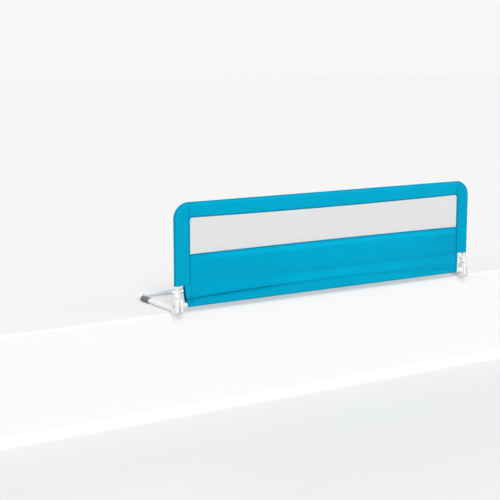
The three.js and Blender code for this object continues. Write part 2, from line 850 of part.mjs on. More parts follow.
// Net of the window: a bound edge around rows of gaps.
function makeNet() {
  const right = railLength / 2 - borderWidth - fit;
  const bottom = panelTop + fit;
  const top = railHeight - borderWidth - fit;
  const corner = windowCorner + fit;
  const shape = new THREE.Shape();
  shape.moveTo(-right, bottom);
  shape.lineTo(right, bottom);
  shape.lineTo(right, top - corner);
  shape.lineTo(right - corner, top);
  shape.lineTo(corner - right, top);
  shape.lineTo(-right, top - corner);
  const gapsWide = 2 * (right - netBinding);
  const gapsHigh = top - bottom - 2 * netBinding;
  const columnPitch = (gapsWide + netStrand) / netColumns;
  const rowPitch = (gapsHigh + netStrand) / netRows;
  const gaps = [];
  for (let column = 0; column < netColumns; column += 1) {
    for (let row = 0; row < netRows; row += 1) {
      const x = netBinding - right + column * columnPitch;
      const z = bottom + netBinding + row * rowPitch;
      gaps.push(box(
        point(x, -netThickness, z),
        point(x + columnPitch - netStrand, netThickness, z + rowPitch - netStrand),
      ));
    }
  }
  return carve([plateAlongY(shape, -netThickness / 2, netThickness / 2)], gaps);
}

const rail = new THREE.Group();
const leftEnd = new THREE.Group();
const rightEnd = new THREE.Group();
leftEnd.position.x = -uprightX;
rightEnd.position.x = uprightX;
rail.add(leftEnd, rightEnd);

function faceted(geometry) {
  const loose = geometry.index ? geometry.toNonIndexed() : geometry.clone();
  loose.deleteAttribute('uv');
  loose.computeVertexNormals();
  return loose;
}

function mirrored(geometry) {
  const turnedOver = faceted(geometry).applyMatrix4(new THREE.Matrix4().makeScale(-1, 1, 1));
  const { array } = turnedOver.attributes.position;
  for (let i = 0; i < array.length; i += 9) {
    for (let j = 0; j < 3; j += 1) {
      [array[i + 3 + j], array[i + 6 + j]] = [array[i + 6 + j], array[i + 3 + j]];
    }
  }
  turnedOver.computeVertexNormals();
  return turnedOver;
}

function addPiece(name, geometry, material, parent = rail) {
  const mesh = new THREE.Mesh(faceted(geometry), material);
  mesh.name = name;
  parent.add(mesh);
}

// One piece at each end of the rail, the right one a mirror image.
function addPair(name, geometry, material) {
  addPiece(`left_${name}`, geometry, material, leftEnd);
  addPiece(`right_${name}`, mirrored(geometry), material, rightEnd);
}

const topButtonAt = point(topJoint + buttonSetback, 0, topTubeHeight);
const rearButtonAt = point(rearJoint + buttonSetback, baseDepth, armHeight);
const armScrewAt = point(0, bracket.back + armSocketLength - armScrewSetback, 2 * armHeight);
const neckScrewAt = point(0, neckRadius, neckScrewHeight);

// Base that the rail folds on
addPair('bracket', makeBracket(), materials.whitePlastic);
addPair('pivot_bolt', makeBolt(), materials.steel);
addPair('pivot_nut', makeNut(), materials.steel);
addPair('base_arm', makeBaseArm(), materials.whiteTube);
addPair('arm_screw', makeScrew(downZ, armScrewAt), materials.steel);
addPair('grip_sleeve', makeGrip(), materials.rubber);
addPair('base_button', makeButton(alongZ, rearButtonAt, tubeRadius, plugBore), materials.steel);
addPair('base_clip', makeClip(alongZ, rearButtonAt, plugBore, 1), materials.steel);
addPiece('rear_tube', makeStraightTube(rearTubeLength, baseDepth, armHeight, alongZ), materials.whiteTube);
addPiece('cross_tube_left', makeCrossTubeLeft(), materials.whiteTube);
addPiece('cross_tube_right', makeCrossTubeRight(), materials.whiteTube);

// Rail that folds about the pivot bolts
addPair('knuckle', makeKnuckle(), materials.whitePlastic);
addPair('corner_tube', makeCornerTube(), materials.whiteTube);
addPair('knuckle_screw', makeScrew(againstY, neckScrewAt), materials.steel);
addPair('release_collar', makeCollar(), materials.whitePlastic);
addPair('release_pin', makeReleasePin(), materials.steel);
addPair('release_plunger', makePlunger(), materials.whitePlastic);
addPair('release_spring', sweep(springPath()), materials.steel);
addPair('spring_seat', makeSpringSeat(), materials.whitePlastic);
addPair('top_button', makeButton(downZ, topButtonAt, tubeRadius, plugBore), materials.steel);
addPair('top_clip', makeClip(downZ, topButtonAt, plugBore, 1), materials.steel);
addPiece('top_tube', makeStraightTube(centreTubeLength, 0, topTubeHeight, downZ), materials.whiteTube);

// Fabric cover
addPair('side_sleeve', makeSideSleeve(), materials.fabric);
addPiece('top_sleeve', makeTopSleeve(), materials.fabric);
addPiece('lower_panel', makePanel(), materials.fabric);
addPiece('hem_pocket', makeHem(), materials.fabric);
addPiece('window_net', makeNet(), materials.net);

// The footprint's middle goes to the origin.
const frontReach = Math.max(bracket.front, neckRadius, sleeveRadius);
const backReach = baseDepth + tubeRadius * Math.cos(Math.PI / tubeSides);
rail.position.y = (frontReach - backReach) / 2;

const model = new THREE.Group();
model.add(rail);

console.log(`least gap of the release spring to itself: ${leastGap(springPath()).toFixed(2)} mm`);

export default model;
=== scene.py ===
"""Folding bed guard rail: cover, net, tubes and hinges, built around its frame.

+X runs along the rail, +Y points back over its base, +Z is up, and every length is in metres.
Pieces of one end are drawn about the axis of its upright tube, with x pointing to the rail's
middle, and the right end mirrors the left one.
"""

import math

import bpy
import numpy as np
from bpy.props import FloatProperty, FloatVectorProperty, IntProperty, PointerProperty
from mathutils import Matrix, Vector, noise
from mathutils.bvhtree import BVHTree


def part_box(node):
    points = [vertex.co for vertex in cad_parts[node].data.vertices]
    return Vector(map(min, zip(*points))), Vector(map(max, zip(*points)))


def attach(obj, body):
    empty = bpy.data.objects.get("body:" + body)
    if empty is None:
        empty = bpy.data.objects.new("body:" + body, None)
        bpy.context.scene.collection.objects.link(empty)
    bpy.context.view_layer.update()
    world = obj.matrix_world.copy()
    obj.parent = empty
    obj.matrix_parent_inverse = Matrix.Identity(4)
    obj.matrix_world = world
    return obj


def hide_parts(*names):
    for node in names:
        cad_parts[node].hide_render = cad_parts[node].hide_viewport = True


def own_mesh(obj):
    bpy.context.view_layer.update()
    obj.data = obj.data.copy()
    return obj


bl_info = {
    "name": "Folding Bed Guard Rail",
    "version": (1, 0, 0),
    "blender": (4, 5, 0),
    "location": "3D View > Sidebar > Guard Rail",
    "description": "Builds the cover, net, tubes and hinges of a folding bed guard rail",
    "category": "Object",
}

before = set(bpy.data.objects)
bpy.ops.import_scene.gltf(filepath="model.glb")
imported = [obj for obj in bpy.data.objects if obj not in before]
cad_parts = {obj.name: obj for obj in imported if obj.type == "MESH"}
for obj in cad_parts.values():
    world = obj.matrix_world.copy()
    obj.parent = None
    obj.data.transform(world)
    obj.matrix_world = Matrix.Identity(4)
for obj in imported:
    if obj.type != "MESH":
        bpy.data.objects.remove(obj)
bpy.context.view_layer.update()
MM = 0.001
X, Y, Z = Vector((1, 0, 0)), Vector((0, 1, 0)), Vector((0, 0, 1))
ENDS = ((-1, "left"), (1, "right"))
# Clearance between a piece and what it fits into
FIT = 0.3 * MM
# How far a cut runs past what it cuts
OVER = 1 * MM


def middle(node):
    low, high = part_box(node)
    return (low + high) / 2


# Places read from the frame
END_LOW, END_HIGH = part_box("right_side_sleeve")
BRACKET_LOW, BRACKET_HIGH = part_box("left_bracket")
NET_LOW, NET_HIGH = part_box("window_net")
COLLAR_LOW, COLLAR_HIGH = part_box("left_release_collar")
GRIP_LOW, GRIP_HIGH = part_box("right_grip_sleeve")
HEM_LOW, HEM_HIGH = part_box("hem_pocket")
PANEL_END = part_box("lower_panel")[1].x
NECK_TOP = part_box("left_knuckle")[1].z
RAIL_Y = middle("right_spring_seat").y
UPRIGHT_X = middle("right_spring_seat").x
COVER_TOP = END_HIGH.z
SLEEVE_FOOT = END_LOW.z
SLEEVE_RADIUS = END_HIGH.x - UPRIGHT_X
TUBE_TOP = COVER_TOP - SLEEVE_RADIUS
CORNER_X = END_LOW.x
BEND = UPRIGHT_X - CORNER_X
PIVOT_Z = middle("cross_tube_left").z
REAR_Y = middle("rear_tube").y
ARM_Z = middle("rear_tube").z
WINDOW_X = NET_HIGH.x
TOP_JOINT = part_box("top_tube")[1].x
REAR_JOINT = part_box("rear_tube")[1].x
TOP_BUTTON_X = middle("right_top_button").x
REAR_BUTTON_X = middle("right_base_button").x
RELEASE_PIN_Z = middle("left_release_pin").z


def length(description, millimetres):
    return FloatProperty(description=description, default=millimetres * MM, min=0, unit="LENGTH")


def share(description, value):
    return FloatProperty(description=description, default=value, min=0, max=1, subtype="FACTOR")


def strength(description, value):
    return FloatProperty(description=description, default=value, min=0)


def angle(description, degrees):
    return FloatProperty(description=description, default=math.radians(degrees), unit="ROTATION")


def colour(description, value):
    return FloatVectorProperty(description=description, default=value, min=0, max=1, size=3, subtype="COLOR")


class CoverSettings(bpy.types.PropertyGroup):
    cloth: length("Thickness of the cover's cloth", 0.8)
    edge_half: length("Half the thickness of a sewn edge at its very rim", 1.0)
    seam_half: length("Half the thickness of a sewn edge behind its roll", 2.2)
    edge_roll: length("Width over which a sewn edge is rolled round", 3)
    seam_dip: length("How deep the cloth is drawn in at the seam of two sleeves", 1.3)
    window_round: length("Radius of the window's upper corners", 12)
    window_shift: length("How far the window sits from the middle of the rail", 5)
    net_pull: length("How far the net draws the window's upper edge down", 5)
    stitch_inset: length("From a sewn edge to its row of stitches", 4)
    stitch_pitch: length("From one stitch to the next", 3.6)
    stitch_length: length("Length of one stitch", 2.7)
    stitch_groove: length("How deep a row of stitches pulls the cloth in", 0.35)
    thread: length("Radius of the sewing thread", 0.33)
    drape: length("Height of the cloth's slight unevenness", 0.7)
    pucker: length("Height of the small gathers beside the seams", 0.7)
    top_roll: length("How far the panel rolls out below the window", 7)
    fold_depth: length("Depth of the panel's broad folds", 1.9)
    valley_height: length("Height of the long shallow valley in the panel", 112)
    belly: length("How far the panel bellies out over its crease", 3.4)
    crease_depth: length("Depth of the crease over the hem", 4.2)
    crease_middle: length("Height of the crease at the middle", 69)
    crease_left: length("Height of the crease at the left end", 56)
    crease_right: length("Height of the crease at the right end", 42)
    fine_crease: length("Depth of the fine creases at the right", 0.8)
    fine_gap: length("From the crease to the first fine crease, and on to the second", 9)
    hem_shift: length("How far the hem sits to the left of the rail's middle", 3)
    foot_spread: length("How much wider the panel's back is at its foot", 4.5)
    # The dark strips inside the panel's open foot stand in for the shade inside the foot
    facing: length("Width of the facing inside the panel's open foot", 26)
    # Painted shade along sewn edges and seams
    edge_shade: share("How far the blue deepens along a sewn edge", 0.38)
    # Painted shade on the outer side of the border's roll round its tube
    rim_shade: share("How far the blue deepens at the outer rim of the border", 0.38)
    # Painted shade on the side sleeves, deeper on the right one
    sleeve_shade: share("How far the blue of the side sleeves deepens", 0.16)
    # Painted shade over the whole lower panel
    panel_shade: share("How far the blue of the whole lower panel deepens", 0.14)
    # Painted shade in the crease and its fine creases
    crease_shade: share("How far the blue deepens in the crease", 0.42)
    weave: length("From one thread of the cloth to the next", 0.6)
    blue: colour("Colour of the cover", (0.0006, 0.415, 0.650))
    # Colour of painted shade in the crease, along seams, on the sleeves and on the border's rim, and of the
    # dark strips in the open foot that stand in for shade there
    painted_shade_blue: colour("Colour of shaded folds and of the inner facings", (0.001, 0.10, 0.20))
    edge_blue: colour("Colour of the piping and the thread", (0.001, 0.215, 0.360))


class NetSettings(bpy.types.PropertyGroup):
    pitch: length("From one thread of the net to the next", 1.8)
    thread: length("Radius of the net's threads", 0.15)
    sag: length("How far the net bellies out of the rail's plane", 2.5)
    tuck: length("How far the net reaches into the seam round the window", 2.5)
    grey: colour("Colour of the net", (0.50, 0.52, 0.53))


class HingeSettings(bpy.types.PropertyGroup):
    half_width: length("Half the width of the bracket", 16)
    half_slot: length("Half the gap between the bracket's cheeks", 4.5)
    back: length("From the upright's axis to the back of the cheeks", 17)
    web: length("Thickness of the wall behind the slot", 4)
    foot: length("Half the length of the bracket's flat foot", 5.6)
    front_corner: length("Radius of the cheek's upper front corner", 18)
    back_corner: length("Radius of the cheek's upper back corner", 8)
    notch_width: length("Width of the latch notch in each cheek", 10)
    notch_depth: length("Depth of the latch notch in each cheek", 4)
    boss: length("Radius of the boss that takes the cross tube", 10.3)
    boss_root: length("How much wider the boss is where it leaves the cheek", 3)
    heel: length("How far the cheeks' heel reaches back over the socket", 9)
    heel_rise: length("Height of the heel over the socket", 2)
    heel_drop: length("How far the heel's top slants down to its back", 7)
    neck: length("Radius of the knuckle's neck and the collar", 15)
    neck_height: length("Height of the knuckle's neck", 17.5)
    groove_half: length("Half the width of the neck's latch grooves", 4.5)
    tongue: length("Radius of the knuckle's tongue", 12.4)
    leg: length("Thickness of a latch leg", 2.8)
    leg_width: length("Width of a latch leg", 4)
    wing_root: length("From the collar's axis to the root of a finger wing", 11)
    wing_depth: length("Depth of a finger wing at its root", 16)
    wing_tip: length("Thickness of a finger wing at its tip", 2.4)
    wing_rise: length("How far the wings' tips turn up", 1.6)
    wing_dip: length("How far a wing's top dips between root and tip", 1.4)
    rounding: IntProperty(description="Passes that round moulded edges", default=5, min=0)
    grain: length("Size of the grid that the moulded pieces are made on", 0.45)
    white: colour("Colour of the moulded pieces", (0.86, 0.86, 0.85))


class TubeSettings(bpy.types.PropertyGroup):
    radius: length("Outer radius of the uprights and base tubes", 9.5)
    wall: length("Wall thickness of the tubes", 1.2)
    cross_radius: length("Outer radius of the cross tube", 8)
    cross_wall: length("Wall thickness of the cross tube", 1)
    base_bend: length("Radius of the bends of the base arms", 55)
    plug: length("Length of the thinner end that plugs into the next tube", 60)
    chamfer: length("Break of the tubes' edges", 0.35)
    button_hole: length("Radius of the holes for the snap buttons and the bolts", 3.3)
    screw_hole: length("Radius of the holes for the screws and the release pin", 1.9)
    screw_seat: length("Radius of the sunk seat of a screw's head", 3.7)
    seat_depth: length("How deep a screw's head is sunk", 2.4)
    bolt_head: length("Radius of the pivot bolt's head", 6)
    bolt_shank: length("Radius of the pivot bolt's shank", 3)
    wire: length("Radius of the release spring's wire", 0.7)
    clip_strip: length("Thickness of the spring clips' strip", 0.8)
    rib_pitch: length("From one rib of a grip sleeve to the next", 5)
    rib_depth: length("Depth of the grooves between the ribs", 1.2)
    white: colour("Colour of the coated tubes", (0.86, 0.865, 0.86))
    steel: colour("Colour of bolts, screws, pins and springs", (0.58, 0.58, 0.57))
    grip: colour("Colour of the grip sleeves", (0.16, 0.165, 0.17))


class StageSettings(bpy.types.PropertyGroup):
    eye: FloatVectorProperty(
        description="Place of the camera", size=3, unit="LENGTH", default=(-2.949, -4.194, 1.021)
    )
    heading: angle("Direction of the view from +X", 57.70)
    pitch: angle("How far the view looks down", 9.51)
    roll: angle("Turn about the view's axis", -0.04)
    focal_pixels: strength("Focal length in pixels of the picture", 1206)
    frame_pixels: strength("Width of the picture in pixels", 500)
    floor_white: colour("Colour of the floor", (0.62, 0.62, 0.62))
    floor_lift: share("White added to what is seen of the floor", 0.28)
    backdrop: share("How bright the backdrop is where it is seen", 0.93)
    floor_gap: length("From the folded rail's lowest place to the floor below it", 45)
    floor_front: length("From the rail's plane to the step's edge", 27)
    sky: strength("Strength of the even light all round", 0.44)
    key: strength("Strength of the lamp in front", 2.0)
    right: strength("Strength of the lamp on the right", 0.3)
    left: strength("Strength of the lamp on the left", 0.45)
    back: strength("Strength of the lamp behind", 0.85)
    softness: angle("Width of the lamps as seen from the rail", 28)


class GuardRailSettings(bpy.types.PropertyGroup):
    cover: PointerProperty(type=CoverSettings)
    net: PointerProperty(type=NetSettings)
    hinge: PointerProperty(type=HingeSettings)
    tube: PointerProperty(type=TubeSettings)
    stage: PointerProperty(type=StageSettings)


def settings():
    return bpy.context.scene.guard_rail


# Shapes from rings of points


def skin(rings, closed=False):
    """Points and faces through rings of equal count, capped at both ends unless closed."""
    count = len(rings[0])
    points = [point for ring in rings for point in ring]
    faces = []
    last = len(rings) if closed else len(rings) - 1
    for i in range(last):
        here, there = i * count, ((i + 1) % len(rings)) * count
        for j in range(count):
            k = (j + 1) % count
            faces.append((here + j, here + k, there + k, there + j))
    if not closed:
        faces.append(tuple(reversed(range(count))))
        faces.append(tuple(range((len(rings) - 1) * count, len(rings) * count)))
    return points, faces


def ring(centre, across, up, radius, sides):
    angles = [2 * math.pi * i / sides for i in range(sides)]
    return [centre + across * (radius * math.cos(a)) + up * (radius * math.sin(a)) for a in angles]


def prism(outline, low, high, across, up):
    """A flat outline of (across, up) pairs, drawn out from low to high along their normal."""
    forward = across.cross(up)
    return skin([[across * u + up * v + forward * at for u, v in outline] for at in (low, high)])


def turned(origin, forward, profile, sides=48, closed=False):
    """A turned shape: profile rows are (distance along forward, radius)."""
    across = forward.orthogonal().normalized()
    up = forward.cross(across)
    return skin([ring(origin + forward * at, across, up, radius, sides) for at, radius in profile], closed)


def rod(origin, forward, reach, radius, sides=48):
    return turned(origin, forward, [(0, radius), (reach, radius)], sides)


def block(x_ends, y_ends, z_ends):
    """A box between two places along each axis, given in either order."""
    (left, right), (front, back), (low, high) = sorted(x_ends), sorted(y_ends), sorted(z_ends)
    return prism([(left, front), (right, front), (right, back), (left, back)], low, high, X, Y)


def arc(u, v, radius, start, end, steps):
    """Points of an arc about (u, v), from and to an angle in degrees, both ends included."""
    angles = [math.radians(start + (end - start) * i / steps) for i in range(steps + 1)]
    return [(u + radius * math.cos(a), v + radius * math.sin(a)) for a in angles]


def grid_faces(rows, columns, turned_over):
    """Faces of a sheet whose points lie in rows."""
    faces = []
    for i in range(rows - 1):
        for j in range(columns - 1):
            here, there = i * columns + j, (i + 1) * columns + j
            face = (here, here + 1, there + 1, there)
            faces.append(face[::-1] if turned_over else face)
    return faces


def mesh_of(name, points, faces, edges=()):
    mesh = bpy.data.meshes.new(name)
    mesh.from_pydata([tuple(p) for p in points], edges, faces)
    mesh.update()
    return mesh


def joined(shapes):
    """Several (points, faces) shapes as one."""
    points, faces = [], []
    for more_points, more_faces in shapes:
        faces += [tuple(i + len(points) for i in face) for face in more_faces]
        points += list(more_points)
    return points, faces


def add_object(name, data):
    made = bpy.data.objects.new(name, data)
    bpy.context.scene.collection.objects.link(made)
    return made


def plain_mesh(made):
    """The evaluated mesh of an object, which is then removed."""
    graph = bpy.context.evaluated_depsgraph_get()
    mesh = bpy.data.meshes.new_from_object(made.evaluated_get(graph), depsgraph=graph)
    mesh.name = made.name
    bpy.data.objects.remove(made)
    return mesh


def cut(shape, cutters):
    """A closed shape less its cutters, as a mesh."""
    body = add_object("blank", mesh_of("blank", *shape))
    tools = [add_object("tool", mesh_of("tool", *cutter)) for cutter in cutters]
    for tool in tools:
        modifier = body.modifiers.new("Cut", "BOOLEAN")
        modifier.operation = "DIFFERENCE"
        modifier.solver = "EXACT"
        modifier.object = tool
    mesh = plain_mesh(body)
    for tool in tools:
        bpy.data.objects.remove(tool)
    return mesh


def shape_of(mesh):
    return [v.co.copy() for v in mesh.vertices], [tuple(p.vertices) for p in mesh.polygons]


def moulded(name, solids, cutters, kept_share):
    """Overlapping solids less their cutters, melted together with rounded edges like a moulding."""
    hinge = settings().hinge
    shape = joined([shape_of(cut(solid, cutters)) for solid in solids])
    body = add_object(name, mesh_of(name, *shape))
    remesh = body.modifiers.new("Melt", "REMESH")
    remesh.mode = "VOXEL"
    remesh.voxel_size = hinge.grain
    smooth = body.modifiers.new("Round", "SMOOTH")
    smooth.iterations = hinge.rounding
    thin = body.modifiers.new("Thin", "DECIMATE")
    thin.ratio = kept_share
    return plain_mesh(body)


def placed(mesh, matrix):
    """The mesh with its points moved; one that is mirrored has its faces turned back."""
    mesh.transform(matrix)
    if matrix.determinant() < 0:
        mesh.flip_normals()
    return mesh


def at_end(side):
    """From an end's own axes to the rail's: side is -1 for the left end and 1 for the right."""
    return Matrix.Translation((side * UPRIGHT_X, RAIL_Y, 0)) @ Matrix.Diagonal((-side, 1, 1, 1))


def finish_piece(name, mesh, finish, body, nodes=(), sharp_degrees=40):
    """A finished piece that rides on a body and stands for nodes of the frame."""
    mesh.name = name
    mesh.materials.clear()
    mesh.materials.append(material_named(finish))
    mesh.shade_smooth()
    if sharp_degrees:
        mesh.set_sharp_from_angle(angle=math.radians(sharp_degrees))
    piece = add_object(name, mesh)
    if nodes:
        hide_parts(*nodes)
    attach(piece, body)
    return piece


# Materials

# Range in which nearly all values of a noise texture lie
NOISE_LOW, NOISE_HIGH = 0.3, 0.7


def shader_group(name, vector, numbers, outputs):
    """A new shader node group with a vector and number inputs, and its inner sockets."""
    group = bpy.data.node_groups.new(name, "ShaderNodeTree")
    group.interface.new_socket(name=vector, in_out="INPUT", socket_type="NodeSocketVector")
    for label, value in numbers.items():
        socket = group.interface.new_socket(name=label, in_out="INPUT", socket_type="NodeSocketFloat")
        socket.default_value = value
    for label in outputs:
        group.interface.new_socket(name=label, in_out="OUTPUT", socket_type="NodeSocketFloat")
    return group, group.nodes.new("NodeGroupInput").outputs, group.nodes.new("NodeGroupOutput").inputs


def link(tree, source, target):
    """Links a node's output to an input, where the source is a socket or a plain value."""
    if isinstance(source, bpy.types.NodeSocket):
        tree.links.new(source, target)
    else:
        target.default_value = source


def new_node(tree, kind, sockets=None, **properties):
    """A node with its properties set and its inputs linked or given values; gives its outputs."""
    node = tree.nodes.new(kind)
    for label, value in properties.items():
        setattr(node, label, value)
    for label, value in (sockets or {}).items():
        link(tree, value, node.inputs[label])
    return node.outputs


def math_node(tree, operation, first, second=0.0, clamp=False):
    values = {0: first, 1: second}
    return new_node(tree, "ShaderNodeMath", values, operation=operation, use_clamp=clamp)[0]


def times(tree, first, second, clamp=False):
    return math_node(tree, "MULTIPLY", first, second, clamp)


def noise_node(tree, vector, scale, detail=2.0, roughness=0.5):
    values = {"Vector": vector, "Scale": scale, "Detail": detail, "Roughness": roughness}
    return new_node(tree, "ShaderNodeTexNoise", values)["Fac"]


def mix_colour(tree, factor, first, second, blend="MIX"):
    values = {"Factor": factor, 6: first, 7: second}
    return new_node(tree, "ShaderNodeMix", values, data_type="RGBA", blend_type=blend)[2]


def map_range(tree, value, *ends):
    """A value moved from one range to another: ends are the first range's two, then the second's."""
    return new_node(tree, "ShaderNodeMapRange", dict(enumerate((value, *ends))))[0]


def spread(tree, noise_value, low, high):
    """A noise texture's value stretched to run from low to high."""
    return map_range(tree, noise_value, NOISE_LOW, NOISE_HIGH, low, high)


def opaque(rgb):
    return (*rgb, 1.0)


def weave_group():
    """Plain weave on a cloth's own map in metres: warp and weft that pass over each other in turn."""
    group, entry, leave = shader_group("Plain weave", "Map", {"Spacing": 1 * MM}, ("Height", "Shade"))
    axes = new_node(group, "ShaderNodeSeparateXYZ", {0: entry["Map"]})[:2]
    turn = math_node(group, "DIVIDE", math.pi, entry["Spacing"])
    waves = [math_node(group, "SINE", times(group, axis, turn)) for axis in axes]
    over = math_node(group, "GREATER_THAN", times(group, *waves), 0.0)
    under = math_node(group, "SUBTRACT", 1.0, over)
    raised = []
    for wave, on_top in zip(waves, (over, under)):
        raised.append(times(group, math_node(group, "ABSOLUTE", wave), on_top))
    link(group, math_node(group, "ADD", *raised), leave["Height"])
    # Changes of tone in a metre, across and along a thread
    across, along = 900, 45
    slubs = []
    for scale in ((across, along, 1), (along, across, 1)):
        factors = {0: entry["Map"], 1: scale}
        stretched = new_node(group, "ShaderNodeVectorMath", factors, operation="MULTIPLY")
        slubs.append(noise_node(group, stretched[0], 1.0))
    link(group, times(group, math_node(group, "ADD", *slubs), 0.5), leave["Shade"])
    return group


def grain_group():
    """Fine uneven grain in three dimensions, with a broad and a fine part."""
    numbers = {"Fine": 900.0, "Broad": 18.0}
    group, entry, leave = shader_group("Surface grain", "Place", numbers, ("Height", "Cloudiness"))
    fine = noise_node(group, entry["Place"], entry["Fine"], detail=3.0, roughness=0.6)
    broad = noise_node(group, entry["Place"], entry["Broad"], detail=4.0, roughness=0.55)
    link(group, fine, leave["Height"])
    link(group, broad, leave["Cloudiness"])
    return group


def wear_group():
    """Rubbed edges: where the surface turns sharply outwards, broken up by grain."""
    group, entry, leave = shader_group("Edge wear", "Place", {"Amount": 1.0}, ("Mask",))
    geometry = new_node(group, "ShaderNodeNewGeometry")
    edge = map_range(group, geometry["Pointiness"], 0.52, 0.60, 0.0, 1.0)
    cloud = noise_node(group, entry["Place"], 140.0, detail=4.0, roughness=0.7)
    patches = map_range(group, cloud, 0.42, 0.62, 0.0, 1.0)
    worn = times(group, edge, patches)
    link(group, times(group, worn, entry["Amount"], clamp=True), leave["Mask"])
    return group


def dust_group():
    """A film of dust that gathers on what faces up."""
    group, entry, leave = shader_group("Settled dust", "Place", {"Amount": 0.3}, ("Mask",))
    normal = new_node(group, "ShaderNodeNewGeometry")["Normal"]
    split = new_node(group, "ShaderNodeSeparateXYZ", {0: normal})
    facing_up = map_range(group, split[2], 0.2, 1.0, 0.0, 1.0)
    patches = noise_node(group, entry["Place"], 60.0, detail=5.0, roughness=0.65)
    film = times(group, facing_up, patches)
    link(group, times(group, film, entry["Amount"], clamp=True), leave["Mask"])
    return group


GROUP_MAKERS = {
    "Plain weave": weave_group,
    "Surface grain": grain_group,
    "Edge wear": wear_group,
    "Settled dust": dust_group,
}


def place_group(tree, name, vector, **values):
    """An effect's node group in a material, built on its first use."""
    group = bpy.data.node_groups.get(name) or GROUP_MAKERS[name]()
    return new_node(tree, "ShaderNodeGroup", {0: vector, **values}, node_tree=group)


def new_material(name, **shader_values):
    """A node material with its shader's plain values set; gives the material, tree and shader."""
    material = bpy.data.materials.new(name)
    material.use_nodes = True
    tree = material.node_tree
    shader = tree.nodes["Principled BSDF"]
    for label, value in shader_values.items():
        shader.inputs[label.replace("_", " ")].default_value = value
    return material, tree, shader


def add_bump(tree, shader, height, distance, amount=1.0):
    bump = new_node(tree, "ShaderNodeBump", {"Strength": amount, "Distance": distance, "Height": height})
    link(tree, bump[0], shader.inputs["Normal"])


def object_place(tree):
    return new_node(tree, "ShaderNodeTexCoord")["Object"]


def cloth_material(name):
    """Woven blue polyester, darkened by painted shade where its shade attribute says: in its crease, along
    its seams, on the border's rim and on the side sleeves.
    """
    cover = settings().cover
    sheen = {"Sheen_Weight": 0.04, "Sheen_Roughness": 0.5, "Sheen_Tint": opaque((0.05, 0.6, 1.0))}
    gloss = {"Specular_IOR_Level": 0.1, "Specular_Tint": opaque((0.02, 0.62, 1.0))}
    material, tree, shader = new_material(name, **gloss, **sheen)
    cloth_map = new_node(tree, "ShaderNodeUVMap", uv_map="Cloth")[0]
    weave = place_group(tree, "Plain weave", cloth_map, Spacing=cover.weave)
    # The shade attribute is painted shade: it mixes the blue towards painted_shade_blue.
    deep = new_node(tree, "ShaderNodeAttribute", attribute_name="shade")["Fac"]
    base = mix_colour(tree, deep, opaque(cover.blue), opaque(cover.painted_shade_blue))
    threads = spread(tree, weave["Shade"], 0.90, 1.07)
    gaps = map_range(tree, weave["Height"], 0.0, 0.6, 0.80, 1.0)
    cloud = place_group(tree, "Surface grain", object_place(tree), Fine=300.0, Broad=9.0)
    mottle = spread(tree, cloud["Cloudiness"], 0.97, 1.03)
    tone = times(tree, times(tree, threads, gaps), mottle)
    grey = new_node(tree, "ShaderNodeCombineColor", {0: tone, 1: tone, 2: tone})
    link(tree, mix_colour(tree, 1.0, base, grey[0], "MULTIPLY"), shader.inputs["Base Color"])
    link(tree, spread(tree, weave["Shade"], 0.78, 0.66), shader.inputs["Roughness"])
    add_bump(tree, shader, weave["Height"], 0.10 * MM, amount=0.6)
    return material


def grained_material(name, tint, dark, fine, broad, rough, rough_by, bump, films=(), **shader_values):
    """A clouded finish with a fine grain, under films of wear or dust.

    dark is the share of the tint in its darker clouds, fine and broad are scales of the grain, rough
    is the range of roughness, and a film is (effect, amount, colour, how much rougher it makes).
    """
    material, tree, shader = new_material(name, **shader_values)
    place = object_place(tree)
    grain = place_group(tree, "Surface grain", place, Fine=fine, Broad=broad)
    base = mix_colour(tree, grain["Cloudiness"], opaque([value * dark for value in tint]), opaque(tint))
    roughness = spread(tree, grain[rough_by], *rough)
    for effect, amount, film_colour, rougher in films:
        mask = place_group(tree, effect, place, Amount=amount)["Mask"]
        base = mix_colour(tree, mask, base, opaque(film_colour))
        if rougher:
            roughness = math_node(tree, "ADD", roughness, times(tree, mask, rougher))
    link(tree, base, shader.inputs["Base Color"])
    link(tree, roughness, shader.inputs["Roughness"])
    add_bump(tree, shader, grain["Height"], bump)
    return material


def thread_material(name, tint):
    rough = {"rough": (0.55, 0.75), "rough_by": "Height"}
    return grained_material(name, tint, 0.8, 2500.0, 120.0, bump=0.05 * MM, Specular_IOR_Level=0.2, **rough)


def white_material(name, tint, rough, fine, bump):
    """White plastic or powder coat: fine grain, faint clouding, rubbed edges and a little dust."""
    films = (
        ("Edge wear", 0.5, (0.62, 0.62, 0.60), 0.0),
        ("Settled dust", 0.22, (0.58, 0.56, 0.53), 0.4),
    )
    coat = {"Coat_Weight": 0.15, "Coat_Roughness": 0.2}
    return grained_material(name, tint, 0.95, fine, 25.0, rough, "Cloudiness", bump, films, **coat)


def steel_material(name):
    films = (("Edge wear", 1.0, (0.75, 0.75, 0.74), 0.0),)
    tint, rough = settings().tube.steel, (0.24, 0.42)
    return grained_material(name, tint, 0.82, 1800.0, 90.0, rough, "Height", 0.03 * MM, films, Metallic=1.0)


def rubber_material(name):
    films = (("Settled dust", 0.35, (0.45, 0.44, 0.42), 0.0),)
    tint, rough, gloss = settings().tube.grip, (0.72, 0.90), {"Specular_IOR_Level": 0.35}
    return grained_material(name, tint, 0.8, 1500.0, 40.0, rough, "Height", 0.06 * MM, films, **gloss)


MATERIAL_MAKERS = {
    "Blue woven cloth": cloth_material,
    "Sewing thread": lambda name: thread_material(name, settings().cover.edge_blue),
    "Inner facing": lambda name: thread_material(name, settings().cover.painted_shade_blue),
    "Net thread": lambda name: thread_material(name, settings().net.grey),
    "White plastic": lambda name: white_material(
        name, settings().hinge.white, rough=(0.31, 0.43), fine=1100.0, bump=0.025 * MM
    ),
    "White powder coat": lambda name: white_material(
        name, settings().tube.white, rough=(0.25, 0.37), fine=420.0, bump=0.05 * MM
    ),
    "Zinc plated steel": steel_material,
    "Grip rubber": rubber_material,
}


def material_named(name):
    return bpy.data.materials.get(name) or MATERIAL_MAKERS[name](name)


# Geometry Nodes


